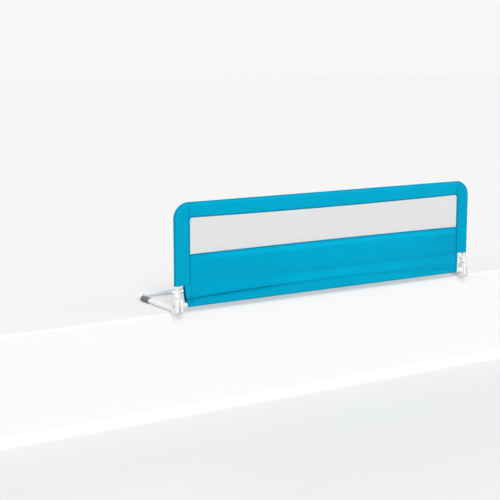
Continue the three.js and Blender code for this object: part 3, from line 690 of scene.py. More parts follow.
def geometry_tree(name, *numbers, **others):
    """A new Geometry Nodes tree with number inputs and inputs of other kinds."""
    tree = bpy.data.node_groups.new(name, "GeometryNodeTree")
    for way in ("INPUT", "OUTPUT"):
        tree.interface.new_socket(name="Geometry", in_out=way, socket_type="NodeSocketGeometry")
    kinds = {**{label: "Float" for label in numbers}, **others, "Material": "Material"}
    for label, kind in kinds.items():
        tree.interface.new_socket(name=label, in_out="INPUT", socket_type=f"NodeSocket{kind}")
    return tree, tree.nodes.new("NodeGroupInput").outputs


def end_tree(tree, entry, geometry):
    """Realizes the instances, shades the result smooth, sets its material and sends it out."""
    real = new_node(tree, "GeometryNodeRealizeInstances", {"Geometry": geometry})
    smooth = new_node(tree, "GeometryNodeSetShadeSmooth", {"Geometry": real[0]})
    surface = {"Geometry": smooth[0], "Material": entry["Material"]}
    surfaced = new_node(tree, "GeometryNodeSetMaterial", surface)
    leave = tree.nodes.new("NodeGroupOutput")
    tree.links.new(surfaced[0], leave.inputs[0])
    return tree


def grown(tree_name, finish, carrier=None, **values):
    """The plain mesh that a tree makes, from a carrier mesh or none, with its inputs set by name."""
    made = add_object(tree_name, carrier or mesh_of(tree_name, [], []))
    modifier = made.modifiers.new("Grow", "NODES")
    modifier.node_group = bpy.data.node_groups.get(tree_name) or TREE_MAKERS[tree_name](tree_name)
    values["Material"] = material_named(finish)
    for item in modifier.node_group.interface.items_tree:
        if item.in_out == "INPUT" and item.name in values:
            modifier[item.identifier] = values[item.name]
    return plain_mesh(made)


def stitch_tree(name):
    """Sewn stitches along the edges of a mesh, each a short rounded length of thread."""
    tree, entry = geometry_tree(name, "Pitch", "Length", "Thread")
    curve = new_node(tree, "GeometryNodeMeshToCurve", {"Mesh": entry["Geometry"]})
    steps = {"Curve": curve[0], "Length": entry["Pitch"]}
    places = new_node(tree, "GeometryNodeResampleCurve", steps, mode="LENGTH")
    bead = new_node(tree, "GeometryNodeMeshUVSphere", {"Segments": 6, "Rings": 4, "Radius": 1.0})
    half = times(tree, entry["Length"], 0.5)
    reach = {"X": entry["Thread"], "Y": entry["Thread"], "Z": half}
    size = new_node(tree, "ShaderNodeCombineXYZ", reach)
    along = new_node(tree, "GeometryNodeInputTangent")
    turn = new_node(tree, "FunctionNodeAlignRotationToVector", {"Vector": along[0]}, axis="Z")
    copies = {"Points": places[0], "Instance": bead[0], "Rotation": turn[0], "Scale": size[0]}
    rows = new_node(tree, "GeometryNodeInstanceOnPoints", copies)
    return end_tree(tree, entry, rows[0])


def thread_rows(tree, entry, turn, across, span, reach, start, steps):
    """Parallel threads of a net, as long as reach and repeated along across over a span."""
    sizes = {"Vertices": 4, "Side Segments": steps, "Radius": entry["Thread"], "Depth": reach}
    post = new_node(tree, "GeometryNodeMeshCylinder", sizes)
    laid = new_node(tree, "GeometryNodeTransform", {"Geometry": post[0], "Rotation": turn})
    step = {0: across, "Scale": entry["Pitch"]}
    offset = new_node(tree, "ShaderNodeVectorMath", step, operation="SCALE")
    count = math_node(tree, "DIVIDE", span, entry["Pitch"])
    places = {"Count": count, "Start Location": start, "Offset": offset[0]}
    line = new_node(tree, "GeometryNodeMeshLine", places)
    return new_node(tree, "GeometryNodeInstanceOnPoints", {"Points": line[0], "Instance": laid[0]})


def net_tree(name):
    """A net of crossing threads in a rectangle of the rail's plane, which bellies out a little."""
    tree, entry = geometry_tree(name, "Width", "Height", "Pitch", "Thread", "Sag")
    width, height = entry["Width"], entry["Height"]
    left = times(tree, width, -0.5)
    low = times(tree, height, -0.5)
    both = tree.nodes.new("GeometryNodeJoinGeometry")
    for turn, across, span, reach, corner, steps in (
        ((0, 0, 0), X, width, height, {"X": left}, 6),
        ((0, math.pi / 2, 0), Z, height, width, {"Z": low}, 60),
    ):
        start = new_node(tree, "ShaderNodeCombineXYZ", corner)
        rows = thread_rows(tree, entry, turn, across, span, reach, start[0], steps)
        tree.links.new(rows[0], both.inputs[0])
    real = new_node(tree, "GeometryNodeRealizeInstances", {"Geometry": both.outputs[0]})
    place = new_node(tree, "GeometryNodeInputPosition")
    split = new_node(tree, "ShaderNodeSeparateXYZ", {0: place[0]})

    def crown(value, half):
        part = math_node(tree, "DIVIDE", value, half)
        return math_node(tree, "SUBTRACT", 1.0, times(tree, part, part))

    swell = times(tree, crown(split["X"], left), crown(split["Z"], low))
    waves_in_a_metre = 9.0
    wave = math_node(tree, "SINE", times(tree, split["X"], waves_in_a_metre))
    belly = times(tree, times(tree, swell, wave), entry["Sag"])
    offset = new_node(tree, "ShaderNodeCombineXYZ", {"Y": belly})
    moved = new_node(tree, "GeometryNodeSetPosition", {"Geometry": real[0], "Offset": offset[0]})
    return end_tree(tree, entry, moved[0])


def spiral_tree(name):
    """An open coil spring of round wire, rising from the origin."""
    tree, entry = geometry_tree(name, "Turns", "Radius", "Height", "Wire")
    radius = entry["Radius"]
    sizes = {"Rotations": entry["Turns"], "Start Radius": radius, "End Radius": radius}
    sizes |= {"Height": entry["Height"], "Resolution": 28}
    coil = new_node(tree, "GeometryNodeCurveSpiral", sizes)
    circle = {"Resolution": 10, "Radius": entry["Wire"]}
    section = new_node(tree, "GeometryNodeCurvePrimitiveCircle", circle)
    swept = {"Curve": coil[0], "Profile Curve": section[0], "Fill Caps": True}
    wire = new_node(tree, "GeometryNodeCurveToMesh", swept)
    return end_tree(tree, entry, wire[0])


def rib_tree(name):
    """Ribs round a sleeve that stands on the z axis: its outside swells and narrows in turn."""
    tree, entry = geometry_tree(name, "Bore", "Pitch", "Depth")
    place = new_node(tree, "GeometryNodeInputPosition")
    split = new_node(tree, "ShaderNodeSeparateXYZ", {0: place[0]})
    turns = math_node(tree, "DIVIDE", split["Z"], entry["Pitch"])
    wave = math_node(tree, "COSINE", times(tree, turns, 2 * math.pi))
    groove = times(tree, math_node(tree, "SUBTRACT", wave, 1.0), 0.5)
    out = new_node(tree, "ShaderNodeCombineXYZ", {"X": split["X"], "Y": split["Y"]})
    girth = new_node(tree, "ShaderNodeVectorMath", {0: out[0]}, operation="LENGTH")
    outside = math_node(tree, "GREATER_THAN", girth["Value"], entry["Bore"])
    way = new_node(tree, "ShaderNodeVectorMath", {0: out[0]}, operation="NORMALIZE")
    depth = times(tree, times(tree, groove, entry["Depth"]), outside)
    shift = new_node(tree, "ShaderNodeVectorMath", {0: way[0], "Scale": depth}, operation="SCALE")
    moved = {"Geometry": entry["Geometry"], "Offset": shift[0]}
    ribbed = new_node(tree, "GeometryNodeSetPosition", moved)
    return end_tree(tree, entry, ribbed[0])


def copies_tree(name):
    """A copy of an object at each point of a mesh, its z axis turned to the point's facing."""
    tree, entry = geometry_tree(name, Piece="Object")
    source = new_node(tree, "GeometryNodeObjectInfo", {"Object": entry["Piece"]})
    read = {"Name": "facing"}
    facing = new_node(tree, "GeometryNodeInputNamedAttribute", read, data_type="FLOAT_VECTOR")
    turn = new_node(tree, "FunctionNodeAlignRotationToVector", {"Vector": facing[0]}, axis="Z")
    placing = {"Points": entry["Geometry"], "Instance": source["Geometry"], "Rotation": turn[0]}
    copies = new_node(tree, "GeometryNodeInstanceOnPoints", placing)
    return end_tree(tree, entry, copies[0])


TREE_MAKERS = {
    "Row of stitches": stitch_tree,
    "Window net": net_tree,
    "Coil spring": spiral_tree,
    "Ribbed sleeve": rib_tree,
    "Copies at places": copies_tree,
}


def copies_at(mesh, places, facings, finish):
    """One mesh with a copy of a mesh at each place, its z axis turned to the place's facing."""
    source = add_object("source", mesh)
    carrier = mesh_of("places", places, [])
    facing = carrier.attributes.new("facing", "FLOAT_VECTOR", "POINT")
    facing.data.foreach_set("vector", [value for way in facings for value in way])
    made = grown("Copies at places", finish, carrier, Piece=source)
    bpy.data.objects.remove(source)
    return made


# Tubes


def bent_path(start, corner, end, radius, steps=20):
    """(place, direction) pairs of a path in one plane that turns once."""
    before, after = (corner - start).normalized(), (end - corner).normalized()
    whole_turn = before.angle(after)
    inwards = before.cross(after).normalized().cross(before)
    centre = corner - before * (radius * math.tan(whole_turn / 2)) + inwards * radius
    path = [(start, before)]
    for i in range(steps + 1):
        turn = whole_turn * i / steps
        place = centre - inwards * (radius * math.cos(turn)) + before * (radius * math.sin(turn))
        path.append((place, before * math.cos(turn) + inwards * math.sin(turn)))
    return [*path, (end, after)]


def tube_shape(path, radii, normal, sides=40):
    """A tube with a wall and broken edges: radii holds (outer, inner) for each place of the path."""
    chamfer = settings().tube.chamfer
    edge = chamfer * 0.7
    (first, way_in), (last, way_out) = path[0], path[-1]
    start = [(first, way_in), (first + way_in * chamfer, way_in)]
    stop = [(last - way_out * chamfer, way_out), (last, way_out)]
    broken = [(outer - edge, inner + edge) for outer, inner in (radii[0], radii[-1])]
    path = start + path[1:-1] + stop
    radii = [broken[0], radii[0], *radii[1:-1], radii[-1], broken[1]]
    rows = [(place, normal.cross(way).normalized(), pair) for (place, way), pair in zip(path, radii)]
    outer = [ring(place, across, normal, pair[0], sides) for place, across, pair in rows]
    inner = [ring(place, across, normal, pair[1], sides) for place, across, pair in rows]
    return skin(outer + inner[::-1], closed=True)


def plugged_tube(path, cutters):
    """A tube along a path that ends in the thinner plug of its joint, with its holes cut."""
    tube = settings().tube
    place, way = path[-1]
    taper = 3 * MM
    bore = tube.radius - tube.wall
    plug = [(place + way * taper, way), (place + way * (taper + FIT + tube.plug), way)]
    radii = [(tube.radius, bore)] * len(path) + [(bore - FIT, bore - FIT - tube.wall)] * 2
    normal = path[0][1].cross(way).normalized()
    return cut(tube_shape(path + plug, radii, normal), cutters)


class GUARDRAIL_OT_tubes(bpy.types.Operator):
    """Bent and straight tubes of the rail and of its base"""

    bl_idname = "guardrail.tubes"
    bl_label = "Tubes"

    def execute(self, context):
        for side, end in ENDS:
            self.upright(side, end)
            self.arm(side, end)
            self.cross_half(side, end)
        self.straight("top_tube", RAIL_Y, TUBE_TOP, TOP_JOINT, TOP_BUTTON_X, -Z, "rail")
        self.straight("rear_tube", REAR_Y, ARM_Z, REAR_JOINT, REAR_BUTTON_X, Z, "base")
        return {"FINISHED"}

    def tube(self, name, mesh, body, node):
        finish_piece(name, mesh, "White powder coat", body, [node])

    def bent(self, start, side, joint, y, z, bend, cutters):
        """A tube that runs to an end's corner, turns to the rail's middle and ends in its plug."""
        joint_taper = 3.3 * MM
        corner = Vector((side * UPRIGHT_X, y, z))
        path = bent_path(start, corner, Vector((side * (joint + joint_taper), y, z)), bend)
        return plugged_tube(path, cutters)

    def upright(self, side, end):
        tube = settings().tube
        x, over, foot_depth = side * UPRIGHT_X, 2 * OVER, 14.2 * MM
        slot_half, pin_travel = 1.9 * MM, 7 * MM
        reach = tube.radius + over
        z_ends = (RELEASE_PIN_Z - slot_half, RELEASE_PIN_Z + pin_travel + slot_half)
        screw = Vector((x, RAIL_Y + tube.radius - over, middle("left_knuckle_screw").z))
        cutters = [
            block((x - reach, x + reach), (RAIL_Y - slot_half, RAIL_Y + slot_half), z_ends),
            rod(screw, Y, 2 * over, tube.button_hole / 2),
            rod(Vector((side * TOP_BUTTON_X, RAIL_Y, TUBE_TOP)), -Z, tube.radius, tube.button_hole),
        ]
        start = Vector((x, RAIL_Y, NECK_TOP - foot_depth))
        mesh = self.bent(start, side, TOP_JOINT, RAIL_Y, TUBE_TOP, BEND, cutters)
        self.tube(f"{end}_upright", mesh, "rail", f"{end}_corner_tube")

    def arm(self, side, end):
        tube = settings().tube
        x, over, socket_depth = side * UPRIGHT_X, 2 * OVER, 21.7 * MM
        screw = Vector((x, middle("left_arm_screw").y, ARM_Z + tube.radius - over))
        cutters = [
            rod(screw, Z, 2 * over, tube.button_hole / 2),
            rod(Vector((side * REAR_BUTTON_X, REAR_Y, ARM_Z)), Z, tube.radius, tube.button_hole),
        ]
        start = Vector((x, BRACKET_HIGH.y - socket_depth, ARM_Z))
        mesh = self.bent(start, side, REAR_JOINT, REAR_Y, ARM_Z, tube.base_bend, cutters)
        self.tube(f"{end}_arm", mesh, "base", f"{end}_base_arm")

    def straight(self, node, y, z, joint, button, way, body):
        """A centre tube that takes a plug and a snap button at each end."""
        tube = settings().tube
        reach = tube.radius + 2 * OVER
        cutters = [rod(Vector((side * button, y, z)), way, reach, tube.button_hole) for side, _ in ENDS]
        path = [(Vector((side * joint, y, z)), X) for side, _ in ENDS]
        radii = [(tube.radius, tube.radius - tube.wall)] * 2
        self.tube(f"{node}_smooth", cut(tube_shape(path, radii, Y), cutters), body, node)

    def cross_half(self, side, end):
        """Half of the cross tube; the left one ends in a plug that the right one takes."""
        tube = settings().tube
        node = f"cross_tube_{end}"
        low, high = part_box(node)
        outer, inner = (low.x, high.x) if side < 0 else (high.x, low.x)
        bore, shoulder_taper = tube.cross_radius - tube.cross_wall, 3 * MM
        start, stop = Vector((outer, RAIL_Y, PIVOT_Z)), Vector((inner, RAIL_Y, PIVOT_Z))
        way = -side * X
        path = [(start, way), (stop, way)]
        radii = [(tube.cross_radius, bore)] * 2
        if side < 0:
            shoulder = stop - way * (tube.plug + FIT)
            path[1:1] = [(shoulder - way * shoulder_taper, way), (shoulder, way)]
            radii += [(bore - FIT, bore - FIT - tube.cross_wall)] * 2
        self.tube(f"{end}_cross_tube", mesh_of("cross", *tube_shape(path, radii, Y)), "base", node)


# Moulded hinges


def cheek_outline():
    """Outline of the bracket's cheeks about the upright's axis: (y, z)."""
    hinge = settings().hinge
    front, back, top = RAIL_Y - BRACKET_LOW.y, hinge.back, BRACKET_HIGH.z
    radius = math.hypot(PIVOT_Z, hinge.foot)
    chin = PIVOT_Z - math.sqrt(radius**2 - front**2)
    start = math.degrees(math.atan2(chin - PIVOT_Z, -front))
    end = math.degrees(math.atan2(-PIVOT_Z, -hinge.foot))
    heel, heel_top = back + hinge.heel, 2 * ARM_Z + hinge.heel_rise
    corner, front_corner = hinge.back_corner, hinge.front_corner
    outline = [(heel, 0), (heel, heel_top - hinge.heel_drop), (back, heel_top), (back, top - corner)]
    outline += arc(back - corner, top - corner, corner, 0, 90, 10)[1:]
    outline += arc(front_corner - front, top - front_corner, front_corner, 90, 180, 20)
    outline += arc(0, PIVOT_Z, radius, start, end, 16)
    return outline


# Sections of a cheek's rounded edge: distance in from its face, and size of the outline there
CHEEK_SECTIONS = ((0.0, 0.88), (0.5 * MM, 0.94), (1.4 * MM, 0.975), (2.6 * MM, 0.993), (4.2 * MM, 1.0))


def cheek_block():
    """Both cheeks and the wall between them as one block with rounded outer edges."""
    centre = Vector((0, 3 * MM, PIVOT_Z - 6 * MM))
    outline = [Vector((0, y, z)) - centre for y, z in cheek_outline()]
    half = []
    for at, kept in CHEEK_SECTIONS:
        start = centre + X * (at - settings().hinge.half_width)
        half.append([start + point * kept for point in outline])
    other = [[Vector((-point.x, point.y, point.z)) for point in section] for section in reversed(half)]
    return skin(half + other)


def screw_hole(head, way, reach):
    """Cutters for a screw: the seat of its head and its hole, from its surface inwards."""
    tube = settings().tube
    start = head - way * OVER
    return [
        rod(start, way, OVER + tube.seat_depth, tube.screw_seat, 32),
        rod(start, way, reach, tube.screw_hole, 24),
    ]


def bracket_mesh():
    """The fork that holds the knuckle, with its socket for the base arm and its cross tube boss."""
    hinge, tube = settings().hinge, settings().tube
    half, slot, back, floor = hinge.half_width, hinge.half_slot, hinge.back, 1 * MM
    top, socket_end = BRACKET_HIGH.z, BRACKET_HIGH.y - RAIL_Y
    boss_end = BRACKET_HIGH.x + UPRIGHT_X
    web_front = back - hinge.web
    pivot, socket = Vector((0, 0, PIVOT_Z)), Vector((0, 0, ARM_Z))
    screw = Vector((0, middle("left_arm_screw").y - RAIL_Y, 2 * ARM_Z))
    head_depth, head_room = 4.2 * MM, 6.3 * MM
    root = hinge.boss + hinge.boss_root
    boss = [(2 * slot, root), (half, root), (half + 3 * hinge.boss_root, hinge.boss), (boss_end, hinge.boss)]
    solids = [
        cheek_block(),
        rod(socket + Y * web_front, Y, socket_end - web_front, ARM_Z, 64),
        turned(pivot, X, boss, 64),
    ]
    face = pivot - X * (half + OVER)
    cutters = [
        block((-slot, slot), (-half * 2, web_front), (-OVER, top + OVER)),
        rod(socket + Y * (back + floor), Y, socket_end, tube.radius + FIT, 64),
        rod(pivot + X * (half + floor), X, boss_end, tube.cross_radius + FIT, 64),
        rod(face, X, 2 * half + floor + 2 * OVER, tube.button_hole, 32),
        rod(face, X, OVER + head_depth, head_room, 48),
        *screw_hole(screw, -Z, ARM_Z),
    ]
    notch = hinge.notch_width / 2
    for side, _ in ENDS:
        cheek = side * half
        cutters.append(
            block((cheek - slot, cheek + slot), (-notch, notch), (top - hinge.notch_depth, top + OVER))
        )
    return moulded("bracket", solids, cutters, 0.28)


def knuckle_mesh():
    """The neck that holds the upright, on its tongue between the bracket's cheeks."""
    hinge, tube = settings().hinge, settings().tube
    half, radius, floor = hinge.half_slot - FIT, hinge.tongue, 3 * MM
    neck_low = NECK_TOP - hinge.neck_height
    groove_floor, groove_end = tube.radius + 2.1 * MM, hinge.neck * 1.2
    outline = [(radius, PIVOT_Z), (radius, neck_low + floor / 2), (-radius, neck_low + floor / 2)]
    outline += arc(0, PIVOT_Z, radius, 180, 360, 28)[:-1]
    solids = [
        prism(outline, -half, half, Y, Z),
        rod(Vector((0, 0, neck_low)), Z, hinge.neck_height, hinge.neck, 72),
    ]
    cutters = [
        rod(Vector((0, 0, neck_low + floor)), Z, hinge.neck_height, tube.radius + FIT, 64),
        rod(Vector((-half - OVER, 0, PIVOT_Z)), X, 2 * (half + OVER), tube.button_hole, 32),
        *screw_hole(Vector((0, hinge.neck, middle("left_knuckle_screw").z)), -Y, hinge.neck),
    ]
    groove = (-hinge.groove_half, hinge.groove_half)
    for side, _ in ENDS:
        depth = (side * groove_floor, side * groove_end)
        cutters.append(block(depth, groove, (neck_low - OVER, NECK_TOP + OVER)))
    return moulded("knuckle", solids, cutters, 0.3)


def squarish(a):
    """A point of a circle pressed towards a square, at an angle."""
    return [math.copysign(abs(part) ** 0.6, part) for part in (math.cos(a), math.sin(a))]


def wing_rings():
    """Cross sections of the two finger wings from tip to tip, oval and thin at the tips."""
    hinge = settings().hinge
    top, low = COLLAR_HIGH.z, NECK_TOP + FIT
    tip, root = (COLLAR_HIGH.x - COLLAR_LOW.x) / 2, hinge.wing_root
    tip_round = hinge.wing_depth / 2.4
    steps, sides = 44, 24
    rings = []
    for i in range(steps + 1):
        x = -tip * math.cos(math.pi * i / steps)
        out = max(0.0, (abs(x) - root) / (tip - root))
        half_thick = (hinge.wing_tip + (top - low - hinge.wing_tip) * (1 - out) ** 2.2) / 2
        into_tip = max(0.0, (abs(x) - tip + tip_round) / tip_round)
        rounding = max(math.sqrt(max(0.0, 1 - into_tip**2)), 0.08)
        depth = hinge.wing_depth / 2 * (1 - 0.12 * out) * rounding
        high = top - hinge.wing_dip * math.sin(math.pi * out) + hinge.wing_rise * out**3
        section = [squarish(2 * math.pi * j / sides) for j in range(sides)]
        rings.append([Vector((x, depth * u, high - half_thick + half_thick * v)) for u, v in section])
    return rings


def collar_mesh():
    """The ring round the upright with two finger wings and two latch legs."""
    hinge, tube = settings().hinge, settings().tube
    low, high = NECK_TOP + FIT, COLLAR_HIGH.z
    leg_inner, leg_back, chamfer = tube.radius + 2.4 * MM, 4.2 * MM, 0.8 * MM
    leg_outer = leg_inner + hinge.leg
    profile = [(0, hinge.neck), (high - low - chamfer, hinge.neck), (high - low, hinge.neck - chamfer)]
    solids = [turned(Vector((0, 0, low)), Z, profile, 72), skin(wing_rings())]
    for side, _ in ENDS:
        thickness, width = (side * leg_inner, side * leg_outer), (leg_back - hinge.leg_width, leg_back)
        solids.append(block(thickness, width, (COLLAR_LOW.z, low + OVER)))
    pin_start = Vector((-hinge.neck - OVER, 0, RELEASE_PIN_Z))
    cutters = [
        rod(Vector((0, 0, low - OVER)), Z, high - low + 2 * OVER, tube.radius + FIT, 64),
        rod(pin_start, X, 2 * (hinge.neck + OVER), tube.screw_hole, 24),
    ]
    return moulded("collar", solids, cutters, 0.4)


class GUARDRAIL_OT_hinges(bpy.types.Operator):
    """White moulded hinges: brackets, knuckles and release collars"""

    bl_idname = "guardrail.hinges"
    bl_label = "Hinges"

    def execute(self, context):
        for name, maker, node, body in (
            ("fork", bracket_mesh, "bracket", "base"),
            ("neck", knuckle_mesh, "knuckle", "rail"),
            ("wings", collar_mesh, "release_collar", None),
        ):
            mesh = maker()
            for side, end in ENDS:
                own = placed(mesh.copy(), at_end(side))
                rider, nodes = body or f"{end}_release", [f"{end}_{node}"]
                finish_piece(f"{end}_{name}", own, "White plastic", rider, nodes, 0)
        return {"FINISHED"}


# Bolts, screws, buttons and springs


def bolt_mesh():
    """A pivot bolt along z with a low domed head and a hexagonal drive, head at the origin."""
    tube = settings().tube
    head, shank, low_dome, rim = tube.bolt_head, tube.bolt_shank, 0.9 * MM, 1.1 * MM
    head_height, drive_width, drive_depth, point = 3.2 * MM, 2.6 * MM, 2 * MM, 0.5 * MM
    low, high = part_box("left_pivot_bolt")
    total = high.x - low.x
    profile = [(low_dome * (1 - math.cos(a)), head * math.sin(a)) for a in (0.35, 0.6, 0.85, 1.1, 1.35)]
    profile += [(rim, head), (head_height, head), (head_height, shank)]
    profile += [(total - point, shank), (total, shank * 0.8)]
    drive = rod(-Z * OVER, Z, OVER + drive_depth, drive_width, 6)
    return cut(turned(Vector(), Z, profile, 56), [drive])


def screw_mesh():
    """A pan head screw along -z with a cross recess, its head's top at the origin."""
    head, shank = 3.4 * MM, 1.6 * MM
    deep, long = 2 * MM, 4.4 * MM
    arm, arm_width, recess, bevel = 1.9 * MM, 0.45 * MM, 1.2 * MM, 0.4 * MM
    profile = [(-long, shank * 0.7), (-deep - bevel, shank), (-deep, shank), (-deep, head)]
    profile += [(-0.9 * MM, head), (-0.45 * MM, head * 0.93), (-0.15 * MM, head * 0.75), (0, head * 0.45)]
    slots = [
        block((-across, across), (-along, along), (-recess, OVER))
        for across, along in ((arm, arm_width), (arm_width, arm))
    ]
    return cut(turned(Vector(), Z, profile, 40), slots)


def button_mesh(flange_low, tip):
    """A snap button along z: its flange inside the plug and its domed pin through both walls."""
    flange, pin, step, dome_height = 4.2 * MM, 3 * MM, 1.2 * MM, 1.3 * MM
    profile = [(flange_low, flange), (flange_low + step, flange), (flange_low + step, pin)]
    for a in (0.0, 0.4, 0.75, 1.05, 1.3):
        profile.append((tip - dome_height * (1 - math.sin(a)), pin * math.cos(a)))
    return mesh_of("button", *turned(Vector(), Z, profile, 40))


def clip_mesh(low, high, side):
    """A strip of spring steel bent to a U that lies along x, open towards the near end of the rail."""
    strip = settings().tube.clip_strip
    outer = (high.z - low.z) / 2
    reach = high.x - low.x - outer
    outline = [(reach, -outer), (reach, strip - outer), *arc(0, 0, outer - strip, 270, 90, 16)]
    outline += [(reach, outer - strip), (reach, outer), *arc(0, 0, outer, 90, 270, 16)]
    bend_x = high.x - outer if side > 0 else low.x + outer
    shape = prism([(-side * u, v) for u, v in outline], 0, high.y - low.y, X, Z)
    mesh = placed(mesh_of("clip", *shape), Matrix.Translation((bend_x, high.y, (low.z + high.z) / 2)))
    if side > 0:
        mesh.flip_normals()
    return mesh


def pressed_flat(spring):
    """Gives a spring its own copy of its mesh."""
    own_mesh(spring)


class GUARDRAIL_OT_fasteners(bpy.types.Operator):
    """Pivot bolts, screws, snap buttons, release springs and spring clips"""

    bl_idname = "guardrail.fasteners"
    bl_label = "Fasteners and springs"

    def execute(self, context):
        self.bolts()
        self.screws("arm_screw", Z, "base")
        self.screws("knuckle_screw", Y, "rail")
        for kind, axis_z, way in (("top", TUBE_TOP, -1), ("base", ARM_Z, 1)):
            for _, end in ENDS:
                self.button(end, kind, axis_z, way)
        for _, end in ENDS:
            self.spring(end)
        for kind, body, fixed in (("top", "rail", 1), ("base", "base", 0)):
            for side, end in ENDS:
                self.clip(side, end, kind, body, fixed)
        return {"FINISHED"}

    def steel(self, name, mesh, body, nodes, sharp_degrees=40):
        return finish_piece(name, mesh, "Zinc plated steel", body, nodes, sharp_degrees)

    def pair(self, name, mesh, places, facings, body, nodes):
        self.steel(name, copies_at(mesh, places, facings, "Zinc plated steel"), body, nodes)

    def bolts(self):
        nodes = [f"{end}_pivot_bolt" for _, end in ENDS]
        x_ends = (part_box(nodes[0])[0].x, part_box(nodes[1])[1].x)
        places = [Vector((x, RAIL_Y, PIVOT_Z)) for x in x_ends]
        self.pair("pivot_bolts", bolt_mesh(), places, [X, -X], "base", nodes)

    def screws(self, kind, way, body):
        nodes = [f"{end}_{kind}" for _, end in ENDS]
        places = []
        for low, high in [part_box(node) for node in nodes]:
            places.append((low + high) / 2 + way * ((high - low).dot(way) / 2))
        self.pair(f"{kind}s", screw_mesh(), places, [way, way], body, nodes)

    def button(self, end, kind, axis_z, way):
        node = f"{end}_{kind}_button"
        near, far = sorted(abs(corner.z - axis_z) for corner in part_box(node))
        centre = middle(node)
        turn = Matrix.Identity(4) if way > 0 else Matrix.Rotation(math.pi, 4, "X")
        mesh = placed(button_mesh(near, far), Matrix.Translation((centre.x, centre.y, axis_z)) @ turn)
        self.steel(f"{end}_{kind}_snap_pin", mesh, f"{end}_{kind}_snap", [node])

    def spring(self, end):
        wire = settings().tube.wire
        low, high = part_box(f"{end}_release_spring")
        radius, rise = (high.x - low.x) / 2 - wire, high.z - low.z - 2 * wire
        mesh = grown("Coil spring", "Zinc plated steel", Turns=6.0, Radius=radius, Height=rise, Wire=wire)
        centre = (low + high) / 2
        placed(mesh, Matrix.Translation((centre.x, centre.y, low.z + wire)))
        coil = self.steel(f"{end}_coil_spring", mesh, "rail", [f"{end}_release_spring"], 0)
        pressed_flat(coil)

    def clip(self, side, end, kind, body, fixed):
        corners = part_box(f"{end}_{kind}_clip")
        mesh = clip_mesh(*corners, side)
        clip = self.steel(f"{end}_{kind}_spring_clip", mesh, body, [f"{end}_{kind}_clip"])
        pressed_flat(clip)


class GUARDRAIL_OT_grips(bpy.types.Operator):
    """Ribbed rubber sleeves that keep the base from sliding"""

    bl_idname = "guardrail.grips"
    bl_label = "Grip sleeves"

    def execute(self, context):
        tube = settings().tube
        outer, bore = (GRIP_HIGH.z - GRIP_LOW.z) / 2, tube.radius + FIT
        reach, rings, edge = GRIP_HIGH.y - GRIP_LOW.y, 120, 0.8 * MM
        rows = [(reach * i / rings, outer) for i in range(1, rings)]
        profile = [(0, outer - edge), *rows, (reach, outer - edge), (reach, bore), (0, bore)]
        blank = mesh_of("sleeve", *turned(Vector(), Z, profile, 64, closed=True))
        inside = bore + 0.2 * MM
        sizes = {"Bore": inside, "Pitch": tube.rib_pitch, "Depth": tube.rib_depth}
        sleeve = grown("Ribbed sleeve", "Grip rubber", blank, **sizes)
        lying = Matrix.Rotation(-math.pi / 2, 4, "X")
        for side, end in ENDS:
            mesh = placed(sleeve.copy(), Matrix.Translation((side * UPRIGHT_X, GRIP_LOW.y, ARM_Z)) @ lying)
            nodes = [f"{end}_grip_sleeve"]
            finish_piece(f"{end}_ribbed_grip", mesh, "Grip rubber", "base", nodes, 60)
        return {"FINISHED"}


# Cover


def smooth_step(part):
    part = min(1.0, max(0.0, part))
    return part * part * (3 - 2 * part)


def bell(distance, width):
    return math.exp(-((distance / width) ** 2))


def crumple(place, size, depth):
    """A small smooth offset that stays the same for the same place."""
    return depth * noise.noise(Vector(place) / size)


def arch(x):
    """1 at the middle of the rail, falling to 0 at the ends of the window."""
    return max(0.0, 1 - (x / WINDOW_X) ** 2)


def window_top(x):
    return NET_HIGH.z - settings().cover.net_pull * arch(x)


def window_bottom(x):
    return NET_LOW.z + settings().cover.net_pull * 0.6 * arch(x)


def window_side(side):
    """Where the window and the panel below it end at the left or the right."""
    return side * WINDOW_X + (2 * settings().cover.window_shift if side < 0 else 0)


def beyond_window(x, z):
    """How far a place of the rail's plane lies outside the window's sides and top; inside is negative."""
    corner, shift = settings().cover.window_round, settings().cover.window_shift
    over_x = abs(x - shift) - (WINDOW_X - shift) + corner
    over_z = z - window_top(x) + corner
    return math.hypot(max(over_x, 0), max(over_z, 0)) + min(max(over_x, over_z), 0) - corner


def beside_window(x):
    """How far a place of the lower panel lies inside its nearer end."""
    return min(x - window_side(-1), window_side(1) - x)


def band_reach(x, z, out_x, out_z):
    """From a tube's axis to the window's edge, straight against the outward direction."""
    low, high, halvings = 30 * MM, 75 * MM, 26
    for _ in range(halvings):
        mid = (low + high) / 2
        if beyond_window(x - out_x * mid, z - out_z * mid) > 0:
            low = mid
        else:
            high = mid
    return low


def rolled(inside):
    """Half thickness of the cover at a distance inside a sewn edge, which is rolled round."""
    cover = settings().cover
    part = min(1.0, max(0.0, inside / cover.edge_roll))
    return cover.edge_half + (cover.seam_half - cover.edge_half) * math.sqrt(1 - (1 - part) ** 2)


def taut_line(reach):
    """Where the flat of a band begins inside its sewn edge, and how it slants to the tube."""
    cover = settings().cover
    foot = reach - cover.edge_roll
    slant = math.atan2(cover.seam_half, foot) + math.acos(SLEEVE_RADIUS / math.hypot(foot, cover.seam_half))
    return foot, slant


def band_face(inwards, reach):
    """Half thickness of a band at a distance from its tube's axis: taut from the tube to the seam."""
    seam = settings().cover.seam_half
    foot, slant = taut_line(reach)
    touch, away = SLEEVE_RADIUS * math.cos(slant), SLEEVE_RADIUS * math.sin(slant)
    if inwards > foot:
        return rolled(reach - inwards)
    if inwards > touch:
        return seam + (foot - inwards) * (away - seam) / (foot - touch)
    return math.sqrt(max(0.0, SLEEVE_RADIUS**2 - inwards**2))


